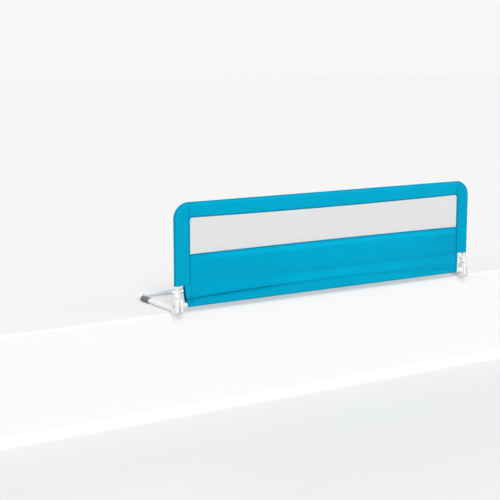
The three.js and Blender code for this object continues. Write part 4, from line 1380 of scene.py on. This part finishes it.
# Distances inside a sewn edge at which the cloth has points, as shares of its rolled edge
EDGE_SHARES = (0.0, 0.035, 0.13, 0.3, 0.6, 1.0, 1.2, 1.33, 1.47, 1.8, 2.5, 3.6)


def edge_steps():
    return [part * settings().cover.edge_roll for part in EDGE_SHARES]


def band_section(reach, flat_steps=8, round_steps=20):
    """(inwards, away from the rail's plane) pairs from the front seam round the tube to the back."""
    _, slant = taut_line(reach)
    touch = SLEEVE_RADIUS * math.cos(slant)
    near = [reach - step for step in edge_steps()]
    flat = [near[-1] + (touch - near[-1]) * i / flat_steps for i in range(1, flat_steps)]
    front = [(at, -band_face(at, reach)) for at in near + flat]
    turn = [slant + (2 * math.pi - 2 * slant) * i / round_steps for i in range(round_steps + 1)]
    around = [(SLEEVE_RADIUS * math.cos(a), -SLEEVE_RADIUS * math.sin(a)) for a in turn]
    back = [(at, -away) for at, away in reversed(front)]
    return front + around + back


def gathers(along, inside):
    """Small gathers beside a row of stitches, and the groove that the thread pulls in."""
    cover = settings().cover
    off, layer, groove_width = inside - cover.stitch_inset, 0.031, 0.6 * MM
    wrinkle = crumple((along, layer, inside / 3), 12 * MM, cover.pucker) * bell(off, 6 * MM)
    return wrinkle - cover.stitch_groove * bell(off, groove_width)


# Places beside an end seam at which a band has points
SEAM_STEPS = (0, 0.5 * MM, 1.2 * MM, 2.4 * MM, 4.5 * MM)


def spaced(low, high, near, count):
    """Places from low to high, close together at both ends and even between."""
    first, last = low + near[-1], high - near[-1]
    even = [first + (last - first) * i / count for i in range(1, count)]
    return [low + step for step in near] + even + [high - step for step in reversed(near)]


def side_stations(side):
    """(x, z, outward x, outward z, distance) along an upright's tube, from the foot to the top seam."""
    rise = TUBE_TOP - BEND - SLEEVE_FOOT
    stations = []
    for along in spaced(0, rise + BEND * math.pi / 2, SEAM_STEPS, 150):
        turn = max(0.0, along - rise) / BEND
        x = UPRIGHT_X - BEND + BEND * math.cos(turn)
        z = SLEEVE_FOOT + min(along, rise) + BEND * math.sin(turn)
        stations.append((side * x, z, side * math.cos(turn), math.sin(turn), along))
    return stations


def top_stations():
    """(x, z, outward x, outward z, distance) along the top tube between the two seams."""
    gap, near = 0.2 * MM, (*SEAM_STEPS, 8 * MM)
    places = spaced(gap - CORNER_X, CORNER_X - gap, near, 280)
    return [(x, TUBE_TOP, 0, 1, x + CORNER_X) for x in places]


def band_place(station, inwards, away, reach, seam_distance):
    """A point of a band with its drape, its gathers and the dip beside its end seam."""
    cover = settings().cover
    fan_wave, dip_width = 2.6 * MM, 2 * MM
    x, z, out_x, out_z, along = station
    base_x, base_z = x - out_x * inwards, z - out_z * inwards
    side = math.copysign(1, away)
    flat = smooth_step((inwards - SLEEVE_RADIUS * 0.2) / (8 * MM))
    middle_part = flat * smooth_step((reach - inwards) / (14 * MM))
    drape = crumple((base_x * 0.6, side, base_z), 42 * MM, cover.drape) * middle_part
    bending = math.sin(2 * math.atan2(abs(out_z), abs(out_x))) if out_x else 0
    fan = cover.pucker * bending * middle_part * math.sin(along / fan_wave) * inwards / reach
    dip = cover.seam_dip * bell(seam_distance, dip_width)
    lift = drape + fan + gathers(along, reach - inwards) * flat - dip * flat
    ease = 0.3 * dip + crumple((base_x, base_z, side), 60 * MM, 0.2 * MM)
    pull = 1 - max(0.0, ease) * (1 - flat) / SLEEVE_RADIUS
    inner = inwards * pull if inwards < SLEEVE_RADIUS else inwards
    return Vector((x - out_x * inner, RAIL_Y + away * pull + side * lift, z - out_z * inner))


def band_grid(stations, seam_ends):
    """Grid of a band along its stations: its places, its cloth map and how much painted shade darkens its
    blue.
    """
    cover = settings().cover
    places, maps, shades = [], [], []
    for station in stations:
        x, z, out_x, out_z, along = station
        reach = band_reach(x, z, out_x, out_z)
        seam_distance = min(abs(along - end) for end in seam_ends)
        section = band_section(reach)
        row = [band_place(station, at, away, reach, seam_distance) for at, away in section]
        # Painted shade beside the end seams and on the side sleeves, deeper on the right sleeve
        even = cover.edge_shade * 0.4 * bell(seam_distance, 6 * MM)
        even += cover.sleeve_shade * (1 + 0.4 * math.copysign(1, x)) * abs(out_x) ** 0.5
        shades.append([band_shade(even, reach, at) for at, _ in section])
        girths = np.cumsum([0.0] + [(b - a).length for a, b in zip(row, row[1:])])
        places.append(row)
        maps.append([(float(girth), along) for girth in girths])
    return places, maps, shades


def cloth_mesh(name, places, maps, shades, turned_over):
    """A sheet of quads through a grid of places, with its cloth map and how much painted shade darkens its
    blue.
    """
    faces = grid_faces(len(places), len(places[0]), turned_over)
    mesh = mesh_of(name, [place for row in places for place in row], faces)
    flat_map = [pair for row in maps for pair in row]
    layer = mesh.uv_layers.new(name="Cloth")
    for loop in mesh.loops:
        layer.data[loop.index].uv = flat_map[loop.vertex_index]
    mark = mesh.attributes.new("shade", "FLOAT", "POINT")
    mark.data.foreach_set("value", [value for row in shades for value in row])
    return mesh


def sewn_cloth(name, mesh, finish, nodes=()):
    """A piece of cloth of the cover, thickened on the inside of its faces."""
    piece = finish_piece(name, mesh, finish, "rail", nodes, 0)
    solid = piece.modifiers.new("Cloth", "SOLIDIFY")
    solid.thickness = settings().cover.cloth
    solid.offset = -1
    return piece


def panel_edge(side, z):
    """Where the lower panel ends: on its seam, and below the side sleeve along its slanted foot."""
    low, high = HEM_LOW.z, SLEEVE_FOOT
    shift = settings().cover.hem_shift
    if z <= high:
        return side * (HEM_HIGH.x + (PANEL_END - HEM_HIGH.x) * (z - low) / (high - low)) - shift
    hidden = smooth_step((z - high) / (14 * MM))
    foot = side * PANEL_END - shift
    return foot + (window_side(side) + side * 0.6 * MM - foot) * hidden


def foot_spread(z):
    """How much further out the back of the lower panel reaches beside its slanted foot."""
    return settings().cover.foot_spread * smooth_step((z - PIVOT_Z) / (60 * MM))


def valley_line(x):
    """Height of the long shallow valley in the lower panel."""
    return settings().cover.valley_height + crumple((x, 1.7, 0), 240 * MM, 8 * MM)


def crease_height(x):
    """Height of the crease over the hem: highest in the middle and lowest at the right end."""
    cover = settings().cover
    end = cover.crease_left if x < 0 else cover.crease_right
    return cover.crease_middle - (cover.crease_middle - end) * min(1.0, abs(x) / WINDOW_X) ** 2.2


def through(knots, at):
    """A smooth line through (place, value) knots in rising order, read at one place."""
    last = len(knots) - 1
    i = 0
    while i < last - 1 and at > knots[i + 1][0]:
        i += 1

    def slope(k):
        low, high = knots[max(0, k - 1)], knots[min(last, k + 1)]
        return (high[1] - low[1]) / (high[0] - low[0])

    (start, first), (stop, second) = knots[i], knots[i + 1]
    span = stop - start
    t = min(1.0, max(0.0, (at - start) / span))
    bend = t * (1 - t) * span * (slope(i) * (1 - t) - slope(i + 1) * t)
    return first + (second - first) * smooth_step(t) + bend


def rightwards(x):
    """0 towards the left end of the lower panel, rising to 1 at its middle."""
    return smooth_step((x + 0.55) / 0.55)


def hem_radius():
    """Outer radius of the cloth where it goes round the cross tube."""
    return PIVOT_Z - HEM_LOW.z - FIT


# The panel's roll below the window: distance below its edge, and share of the roll there
ROLL_KNOTS = ((21 * MM, 0.78), (14 * MM, 0.42), (8 * MM, 0.10), (4 * MM, 0.0), (0.0, 0.0))


def upper_profile(x):
    """(height, distance from the rail's plane) knots of the panel's front above its crease."""
    cover = settings().cover
    top, crease, valley, right = window_bottom(x), crease_height(x), valley_line(x), rightwards(x)
    roll = cover.top_roll * (0.5 + 0.35 * smooth_step((x + 0.68) / 0.16) + 0.3 * right)
    out = cover.seam_half + roll
    dip = cover.fold_depth * (0.4 + 0.9 * right)
    lip = out + cover.belly * (0.2 + 0.35 * right)
    return [
        (crease - 1 * MM, lip - 0.4 * MM),
        (crease + 5 * MM, lip),
        (crease + (valley - crease) * 0.45, lip - cover.belly * 0.35),
        (valley, out - dip),
        (valley + 22 * MM, out - dip * 0.35),
        (top - 60 * MM, out),
        (top - 29 * MM, out - 0.2 * MM),
        *[(top - drop, cover.seam_half + roll * kept) for drop, kept in ROLL_KNOTS],
    ]


def lower_profile(x):
    """(height, distance from the rail's plane) knots of the panel's front below its crease."""
    crease, hem = crease_height(x), hem_radius()
    recess = hem - settings().cover.crease_depth * (1 - 1.2 * rightwards(x))
    return [
        (PIVOT_Z - 1 * MM, hem),
        (PIVOT_Z + 5 * MM, hem),
        (crease - 12 * MM, (hem + recess) / 2 + 0.4 * MM),
        (crease - 4 * MM, recess),
        (crease + 1 * MM, recess),
    ]


def fine_creases(x, above, width):
    """Strength of the fine lines over the crease, which splits towards the right end."""
    near = 0.0
    for i in (1, 2):
        line = i * settings().cover.fine_gap + crumple((x, i, 4), 120 * MM, 3 * MM)
        near += bell(above - line, width)
    return near * smooth_step((x - 0.1) / 0.35)


def fold(x, z, layer):
    """Broad folds of the lower panel; each of its layers has a number of its own."""
    return crumple((x, layer, z), 48 * MM, settings().cover.fold_depth * 0.8)


def front_drape(x, z):
    """Distance of the lower panel's front from the rail's plane, with its crease and its folds."""
    cover = settings().cover
    above = z - crease_height(x)
    step = smooth_step(above / (1.6 * MM + 10 * MM * rightwards(x)) + 0.5)
    depth = through(upper_profile(x), z) * step + through(lower_profile(x), z) * (1 - step)
    depth -= cover.fine_crease * fine_creases(x, above, 1.5 * MM)
    slanting = crumple((x / 3 + z * 0.6, 5.1, z), 19 * MM, cover.drape * 0.35)
    calm = smooth_step((window_bottom(x) - z) / (30 * MM)) * smooth_step((z - PIVOT_Z) / (9 * MM))
    return depth + (fold(x / 7, z, 2.7) + slanting) * calm


def back_drape(x, z):
    """Distance of the lower panel's back from the rail's plane."""
    seam = settings().cover.seam_half
    down = (window_bottom(x) - z) / (window_bottom(x) - PIVOT_Z)
    taut = seam + (hem_radius() - seam) * math.sin(min(1.0, down * 1.15) * math.pi / 2)
    calm = smooth_step(down * 5) * smooth_step((z - PIVOT_Z) / (9 * MM))
    return taut + fold(x / 4, z, 8.3) * calm


def panel_depth(x, z, face):
    """How far a layer of the lower panel stands out from the rail's plane: face -1 is the front."""
    cover = settings().cover
    seam, sleeve_end, opening_top = cover.seam_half, SLEEVE_FOOT + 4 * MM, SLEEVE_FOOT + 14 * MM
    down, beside = window_bottom(x) - z, beside_window(x)
    open_foot = smooth_step((sleeve_end - z) / (16 * MM))
    edge = rolled(down) if z > sleeve_end else seam
    drape = front_drape(x, z) if face < 0 else back_drape(x, z)
    opening = (opening_top - z) / (opening_top - PIVOT_Z)
    taut = seam + (hem_radius() - seam) * max(0.0, opening) ** 0.7
    free = smooth_step(beside / (60 * MM))
    depth = edge + (drape - seam) * free + (taut - seam) * (1 - free) * open_foot
    depth -= (seam - rolled(beside)) * (1 - open_foot)
    depth += (gathers(x, down) + gathers(z, beside)) * (1 - open_foot)
    return max(depth, cover.edge_half * 0.8)


def panel_point(x, z, face, sunk=0.0):
    return Vector((x, RAIL_Y + face * (panel_depth(x, z, face) - sunk), z))


def edge_shade(inside):
    """How much painted shade darkens the blue beside a sewn edge."""
    return settings().cover.edge_shade * bell(inside - 1 * MM, 3.6 * MM)


def band_shade(even, reach, at):
    """How much painted shade darkens a band at a distance from its tube's axis: beside its sewn edge and on
    the outer side of its roll.
    """
    cover = settings().cover
    # Painted shade on the outer rim of the roll round the tube
    rim = smooth_step((-at / SLEEVE_RADIUS - 0.2) / 0.8)
    return min(1.0, even + 1.25 * edge_shade(reach - at) + cover.rim_shade * rim)


# Streaks of painted shade (CREASE_STREAKS) and of painted highlight (LIT_STREAKS) along the crease: height
# above it, width, and strength at the left and at the right
CREASE_STREAKS = ((-1 * MM, 2.4 * MM, 1.0, 0.25), (5 * MM, 9 * MM, 0.26, 0.0), (-8 * MM, 8 * MM, 0.42, 0.0))
LIT_STREAKS = ((22 * MM, 14 * MM, 0.0, 0.2), (-19 * MM, 9 * MM, 0.0, 0.3))


def streaks(rows, above, right):
    total = 0.0
    for height, width, left, end in rows:
        total += bell(above - height, width) * (left + (end - left) * right)
    return total


def panel_shade(x, z):
    """How much painted shade darkens the front: in its crease, its fine creases and its valley, along its
    seams and towards its ends, less where painted highlights lie below the window and over the crease.
    """
    cover = settings().cover
    above, right = z - crease_height(x), rightwards(x)
    down, beside = window_bottom(x) - z, beside_window(x)
    # lit is painted highlight: it takes painted shade away below the window and over the crease
    lit = bell(down - 13 * MM, 10 * MM) * smooth_step((x + 0.68) / 0.14) + streaks(LIT_STREAKS, above, right)
    # dark is painted shade in the crease, the fine creases and the valley
    dark = streaks(CREASE_STREAKS, above, right) + 0.42 * fine_creases(x, above, 2 * MM)
    dark += 0.28 * bell(z - valley_line(x), 8 * MM) * right
    # Painted shade over the whole panel, deeper at the left and at the right end
    even = 1.25 - 0.35 * right - lit + 0.5 * smooth_step((x - 0.4) / 0.2)
    # Painted shade along the window's edge and the side seams, and down the seam line below the sleeve's foot
    seams = edge_shade(down) + edge_shade(beside - 2 * MM) * 0.4
    seams += edge_shade(beside) * 0.35 * smooth_step((SLEEVE_FOOT - z) / (8 * MM))
    return min(1.0, cover.panel_shade * even + cover.crease_shade * dark + seams)


# Rows of points on the front between each two heights that panel_marks gives
FRONT_ROWS = (36, 10, 8, 9, 5)


def panel_marks(x):
    """Heights on the front at which its rows of points change their spacing, downwards."""
    crease, lip, above, below = crease_height(x), 1.6 * MM, 14 * MM, 16 * MM
    foot = max(crease - below, PIVOT_Z + 2 * MM)
    return (window_bottom(x) - edge_steps()[-1], crease + above, crease + lip, crease - lip, foot, PIVOT_Z)


def front_height(x, span, part):
    start, end = panel_marks(x)[span : span + 2]
    return start + (end - start) * part


def panel_heights():
    """Functions that give the height of each row of the front, from the window's edge to the tube."""
    rows = [lambda x, drop=drop: window_bottom(x) - drop for drop in edge_steps()]
    for span, count in enumerate(FRONT_ROWS):
        parts = [i / count for i in range(1, count + 1)]
        rows += [lambda x, span=span, part=part: front_height(x, span, part) for part in parts]
    return rows


# Column of points of the lower panel along which the length of its cloth is measured
MEASURED_COLUMN = 99


def panel_grid():
    """Grid of the lower panel: down the front, round the cross tube and up the back."""
    cover = settings().cover
    radius, near = hem_radius(), edge_steps()
    round_steps, back_steps = 14, 30
    places, maps, shades = [], [], []

    def add_row(height_of, depth_of, shade_of, spread=0.0):
        mid = height_of(0)
        row, marks = [], []
        for x in spaced(panel_edge(-1, mid), panel_edge(1, mid), near, 250):
            z = height_of(x)
            side = -1 if x < 0 else 1
            edge_shift = panel_edge(side, z) - panel_edge(side, mid) + side * foot_spread(z) * spread
            x += edge_shift * smooth_step(abs(x) / WINDOW_X * 4 - 3)
            row.append(Vector((x, RAIL_Y + depth_of(x, z), z)))
            marks.append(shade_of(x, z))
        run = 0.0
        if places:
            run = maps[-1][0][1] - (row[MEASURED_COLUMN] - places[-1][MEASURED_COLUMN]).length
        places.append(row)
        maps.append([(place.x, run) for place in row])
        shades.append(marks)

    for height_of in panel_heights():
        add_row(height_of, lambda x, z: -panel_depth(x, z, -1), panel_shade)
    # Rows round the cross tube and up the back carry the panel's painted shade, and the back also the painted
    # shade along the window's edge
    for i in range(1, round_steps):
        turn = math.pi * i / round_steps
        drop, depth = radius * math.sin(turn), -radius * math.cos(turn)
        add_row(lambda x: PIVOT_Z - drop, lambda x, z: depth, lambda x, z: cover.panel_shade, i / round_steps)
    for i in range(back_steps + 1):
        risen = 1 - (1 - i / back_steps) ** 1.35
        add_row(
            lambda x: PIVOT_Z + (window_bottom(x) - PIVOT_Z) * risen,
            lambda x, z: panel_depth(x, z, 1),
            lambda x, z: cover.panel_shade + edge_shade(window_bottom(x) - z),
            1.0,
        )
    return places, maps, shades


def window_outline(outside, steps=120, corner_steps=12):
    """(x, z) places round the window, a distance outside its edge, starting at the lower left."""
    corner = settings().cover.window_round + outside
    left, right = window_side(-1) - outside, window_side(1) + outside
    turn = [math.pi / 2 * i / corner_steps for i in range(corner_steps + 1)]
    bottom = [left + (right - left) * i / steps for i in range(steps + 1)]
    top_right = window_top(right - corner) + outside - corner
    top_left = window_top(left + corner) + outside - corner
    top = [right - corner + (left - right + 2 * corner) * i / steps for i in range(1, steps)]
    outline = [(x, window_bottom(x) - outside) for x in bottom]
    outline += [(right - corner + corner * math.cos(a), top_right + corner * math.sin(a)) for a in turn]
    outline += [(x, window_top(x) + outside) for x in top]
    outline += [(left + corner - corner * math.sin(a), top_left + corner * math.cos(a)) for a in turn]
    return outline


def band_point(station, at, away):
    x, z, out_x, out_z, _ = station
    return Vector((x - out_x * at, RAIL_Y + away, z - out_z * at))


def band_row(stations, inside, face):
    """A line along a band, a distance inside its sewn edge."""
    row = []
    for station in stations:
        reach = band_reach(*station[:4])
        at = reach - inside
        row.append(band_point(station, at, face * band_face(at, reach)))
    return row


def girth_row(station):
    """A line across a band at one station, from its front seam round the tube to the back."""
    section = band_section(band_reach(*station[:4]))
    return [band_point(station, at, away) for at, away in section[2:-2]]


def panel_row(drop, face, steps=400):
    """A line along the lower panel, a distance below the window's edge."""
    left, right, inset = window_side(-1), window_side(1), 0.002
    parts = [inset + (1 - 2 * inset) * i / steps for i in range(steps + 1)]
    line = [left + (right - left) * part for part in parts]
    return [panel_point(x, window_bottom(x) - drop, face) for x in line]


def foot_edge_row(side, face, inside, steps=30):
    """A line up the slanted edge of the lower panel's foot."""
    row = []
    for i in range(steps + 1):
        z = PIVOT_Z + (SLEEVE_FOOT - 2 * MM - PIVOT_Z) * i / steps
        row.append(panel_point(panel_edge(side, z) - side * inside, z, face))
    return row


def stitch_paths():
    """Rows of stitches, each a list of places close to the cover's surface."""
    inset, twin, hem = settings().cover.stitch_inset, 2.6 * MM, 9 * MM
    paths = []
    for face in (-1, 1):
        paths.append(band_row(top_stations()[1:-1], inset, face))
        paths += [panel_row(drop, face) for drop in (inset, inset + 2 * twin)]
        for side, _ in ENDS:
            paths.append(band_row(side_stations(side)[1:-1], inset, face))
            paths.append(foot_edge_row(side, face, inset))
    for side, _ in ENDS:
        paths.append(girth_row(min(side_stations(side), key=lambda station: abs(station[4] - hem))))
        paths += [girth_row((side * (CORNER_X + gap), TUBE_TOP, 0, 1, 0)) for gap in (-twin, twin)]
    return paths


def laid_on(paths, surfaces, lift):
    """The paths moved onto the nearest of some meshes, and lifted off it a little."""
    points, faces = joined([shape_of(mesh) for mesh in surfaces])
    surface = BVHTree.FromPolygons(points, faces)
    laid = []
    for path in paths:
        hits = [surface.find_nearest(place) for place in path]
        laid.append([place + normal * lift for place, normal, _, _ in hits])
    return laid


class GUARDRAIL_OT_bands(bpy.types.Operator):
    """Border of the cover: two side sleeves with the corners and the sleeve of the top tube"""

    bl_idname = "guardrail.bands"
    bl_label = "Border sleeves"

    def execute(self, context):
        for side, end in ENDS:
            stations = side_stations(side)
            seam = stations[-1][4]
            grid = band_grid(stations, [seam])
            tall = seam + 2 * SLEEVE_RADIUS
            self.band(f"{end}_side", grid, side < 0, f"{end}_side_sleeve", tall, f"{end}_corner_tube")
        stations = top_stations()
        grid = band_grid(stations, [0, stations[-1][4]])
        self.band("top", grid, True, "top_sleeve", 2 * CORNER_X, "top_tube")
        return {"FINISHED"}

    def band(self, name, grid, turned_over, node, reach, tube):
        mesh = cloth_mesh(name, *grid, turned_over)
        piece = sewn_cloth(f"{name}_band", mesh, "Blue woven cloth", [node])


class GUARDRAIL_OT_panel(bpy.types.Operator):
    """Lower panel of the cover: one cloth down the front, round the cross tube and up the back"""

    bl_idname = "guardrail.panel"
    bl_label = "Lower panel and hem"

    def execute(self, context):
        places, maps, shades = panel_grid()
        mesh = cloth_mesh("panel", places, maps, shades, True)
        piece = sewn_cloth("panel_cloth", mesh, "Blue woven cloth", ["lower_panel", "hem_pocket"])
        # Dark strips inside the open foot that stand in for the shade there
        strips = mesh_of("facings", *joined([shade_strip_shape(side) for side, _ in ENDS]))
        facing = sewn_cloth("foot_facings", strips, "Inner facing")
        return {"FINISHED"}


def shade_strip_shape(side, rows=26, columns=8):
    """Dark strip inside the open foot of the lower panel's back, which stands in for the shade there."""
    wide, low, high, gap = settings().cover.facing, PIVOT_Z, SLEEVE_FOOT - 2 * MM, 1.3 * MM
    points = []
    for i in range(rows + 1):
        z = low + (high - low) * i / rows
        edge = panel_edge(side, z) + side * (foot_spread(z) - 0.3 * MM)
        points += [panel_point(edge - side * wide * j / columns, z, 1, gap) for j in range(columns + 1)]
    return points, grid_faces(rows + 1, columns + 1, side > 0)


class GUARDRAIL_OT_sewing(bpy.types.Operator):
    """Piping round the window and every row of stitches"""

    bl_idname = "guardrail.sewing"
    bl_label = "Piping and stitches"

    def execute(self, context):
        cover = settings().cover
        centre = [Vector((x, RAIL_Y, z)) for x, z in window_outline(-0.4 * MM)]
        rings = []
        for i, place in enumerate(centre):
            way = (centre[(i + 1) % len(centre)] - centre[i - 1]).normalized()
            rings.append(ring(place, way.cross(Y), -Y, cover.edge_half * 1.25, 12))
        self.sewn("window_piping", mesh_of("piping", *skin(rings, closed=True)))
        cloths = ("left_side_band", "right_side_band", "top_band", "panel_cloth")
        surfaces = [bpy.data.objects[name].data for name in cloths]
        points, edges = [], []
        for path in laid_on(stitch_paths(), surfaces, cover.thread * 0.45):
            first, last = len(points), len(points) + len(path) - 1
            points += path
            edges += [(i, i + 1) for i in range(first, last)]
        lines = mesh_of("stitches", points, [], edges)
        sizes = {"Pitch": cover.stitch_pitch, "Length": cover.stitch_length, "Thread": cover.thread}
        self.sewn("cover_stitches", grown("Row of stitches", "Sewing thread", lines, **sizes))
        return {"FINISHED"}

    def sewn(self, name, mesh):
        finish_piece(name, mesh, "Sewing thread", "rail", sharp_degrees=0)


class GUARDRAIL_OT_net(bpy.types.Operator):
    """Net of the window"""

    bl_idname = "guardrail.net"
    bl_label = "Window net"

    def execute(self, context):
        net = settings().net
        width, height = 2 * (WINDOW_X + net.tuck), NET_HIGH.z - NET_LOW.z + 2 * net.tuck
        sizes = {"Width": width, "Height": height, "Pitch": net.pitch, "Thread": net.thread, "Sag": net.sag}
        mesh = grown("Window net", "Net thread", **sizes)
        placed(mesh, Matrix.Translation((0, RAIL_Y, (NET_HIGH.z + NET_LOW.z) / 2)))
        finish_piece("fine_net", mesh, "Net thread", "rail", ["window_net"], 0)
        return {"FINISHED"}


CARRIED = {
    "pivot_nut": "Zinc plated steel",
    "release_pin": "Zinc plated steel",
    "release_plunger": "White plastic",
    "spring_seat": "White plastic",
}


class GUARDRAIL_OT_carried(bpy.types.Operator):
    """Finishes for the inner pieces that the frame already shapes"""

    bl_idname = "guardrail.carried"
    bl_label = "Inner pieces"

    def execute(self, context):
        for kind, finish in CARRIED.items():
            for _, end in ENDS:
                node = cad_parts[f"{end}_{kind}"]
                node.material_slots[0].material = material_named(finish)
        return {"FINISHED"}


# Stage

# Where the light of each lamp comes from; the lamps are so far away that they light every place alike
LAMPS = {
    "key": (-2.3, -5.0, 3.7),
    "right": (4.0, -3.0, 2.4),
    "left": (-4.5, -1.4, 1.9),
    "back": (1.4, 4.6, 2.6),
}


def seen_rays(tree):
    """1 on rays that only look: from the camera, or by way of a reflection or glass."""
    path = new_node(tree, "ShaderNodeLightPath")
    looks = math_node(tree, "ADD", path["Is Camera Ray"], path["Is Glossy Ray"])
    return math_node(tree, "ADD", looks, path["Is Transmission Ray"], clamp=True)


def mix_shaders(tree, factor, first, second, target):
    """Sends a mix of two nodes' shaders to an input."""
    mix = new_node(tree, "ShaderNodeMixShader", {0: factor, 1: first.outputs[0], 2: second.outputs[0]})
    link(tree, mix[0], target)


class GUARDRAIL_OT_stage(bpy.types.Operator):
    """Camera, floor, even light and lamps"""

    bl_idname = "guardrail.stage"
    bl_label = "Stage"

    def execute(self, context):
        stage = settings().stage
        scene = context.scene
        scene.view_settings.view_transform = "Standard"
        self.camera(scene, stage)
        self.sky(scene, stage)
        self.floor(stage)
        for name, comes_from in LAMPS.items():
            lamp = bpy.data.lights.new(f"{name} lamp", "SUN")
            lamp.energy = getattr(stage, name)
            lamp.angle = stage.softness
            made = add_object(lamp.name, lamp)
            made.location = comes_from
            made.rotation_euler = Vector(comes_from).to_track_quat("Z", "Y").to_euler()
        return {"FINISHED"}

    def camera(self, scene, stage):
        data = bpy.data.cameras.new("Camera")
        data.sensor_width = 36
        data.lens = data.sensor_width * stage.focal_pixels / stage.frame_pixels
        scene.camera = add_object("Camera", data)
        heading = Matrix.Rotation(stage.heading - math.pi / 2, 4, "Z")
        pitch = Matrix.Rotation(math.pi / 2 - stage.pitch, 4, "X")
        roll = Matrix.Rotation(stage.roll, 4, "Z")
        scene.camera.matrix_world = Matrix.Translation(stage.eye) @ heading @ pitch @ roll

    def sky(self, scene, stage):
        world = bpy.data.worlds.new("Even light")
        scene.world = world
        world.use_nodes = True
        tree = world.node_tree
        light, seen = tree.nodes["Background"], tree.nodes.new("ShaderNodeBackground")
        for node, level in ((light, stage.sky), (seen, stage.backdrop)):
            node.inputs["Color"].default_value = (1, 1, 1, 1)
            node.inputs["Strength"].default_value = level
        mix_shaders(tree, seen_rays(tree), light, seen, tree.nodes["World Output"].inputs[0])

    def floor(self, stage):
        """A wide step: the base lies on it, and in front of it there is space for the folded rail."""
        reach, drop = 30, COVER_TOP - 2 * PIVOT_Z + stage.floor_gap
        front, edge, foot = RAIL_Y + stage.floor_front, 12 * MM, 40 * MM
        outline = [(reach, 0), *arc(front + edge, -edge, edge, 90, 180, 8)]
        outline += [*arc(front - foot, foot - drop, foot, 0, -90, 12), (-reach, -drop)]
        points = [(x, y, z) for y, z in outline for x in (-reach, reach)]
        mesh = mesh_of("floor", points, grid_faces(len(outline), 2, True))
        mesh.shade_smooth()
        mesh.set_sharp_from_angle(angle=math.radians(40))
        material, tree, shader = new_material("Pale floor", Roughness=0.9, Specular_IOR_Level=0.0)
        shader.inputs["Base Color"].default_value = opaque(stage.floor_white)
        shader.inputs["Emission Color"].default_value = (1, 1, 1, 1)
        lift = times(tree, seen_rays(tree), stage.floor_lift)
        link(tree, lift, shader.inputs["Emission Strength"])
        behind = new_node(tree, "ShaderNodeNewGeometry")["Backfacing"]
        clear = tree.nodes.new("ShaderNodeBsdfTransparent")
        mix_shaders(tree, behind, shader, clear, tree.nodes["Material Output"].inputs["Surface"])
        mesh.materials.append(material)
        add_object("floor", mesh)


PIECES = (
    GUARDRAIL_OT_tubes,
    GUARDRAIL_OT_hinges,
    GUARDRAIL_OT_fasteners,
    GUARDRAIL_OT_grips,
    GUARDRAIL_OT_bands,
    GUARDRAIL_OT_panel,
    GUARDRAIL_OT_net,
    GUARDRAIL_OT_sewing,
    GUARDRAIL_OT_carried,
    GUARDRAIL_OT_stage,
)


class GUARDRAIL_PT_sidebar(bpy.types.Panel):
    """Lists the steps that build the guard rail"""

    bl_idname = "GUARDRAIL_PT_sidebar"
    bl_label = "Guard Rail"
    bl_space_type = "VIEW_3D"
    bl_region_type = "UI"
    bl_category = "Guard Rail"

    def draw(self, context):
        for step in PIECES:
            self.layout.operator(step.bl_idname, text=step.bl_label)
        for group in ("cover", "net", "hinge", "tube", "stage"):
            values = getattr(context.scene.guard_rail, group)
            column = self.layout.box().column()
            for name in values.bl_rna.properties.keys():
                if name not in ("rna_type", "name"):
                    column.prop(values, name, text=name.replace("_", " ").capitalize())


GROUPS = (CoverSettings, NetSettings, HingeSettings, TubeSettings, StageSettings, GuardRailSettings)
CLASSES = (*GROUPS, *PIECES, GUARDRAIL_PT_sidebar)


def register():
    for each in CLASSES:
        bpy.utils.register_class(each)
    bpy.types.Scene.guard_rail = PointerProperty(type=GuardRailSettings)


def unregister():
    del bpy.types.Scene.guard_rail
    for each in reversed(CLASSES):
        bpy.utils.unregister_class(each)


def main():
    register()
    bpy.ops.guardrail.stage()
    bpy.ops.guardrail.tubes()
    bpy.ops.guardrail.hinges()
    bpy.ops.guardrail.fasteners()
    bpy.ops.guardrail.grips()
    bpy.ops.guardrail.bands()
    bpy.ops.guardrail.panel()
    bpy.ops.guardrail.net()
    bpy.ops.guardrail.sewing()
    bpy.ops.guardrail.carried()


if __name__ == "__main__":
    main()
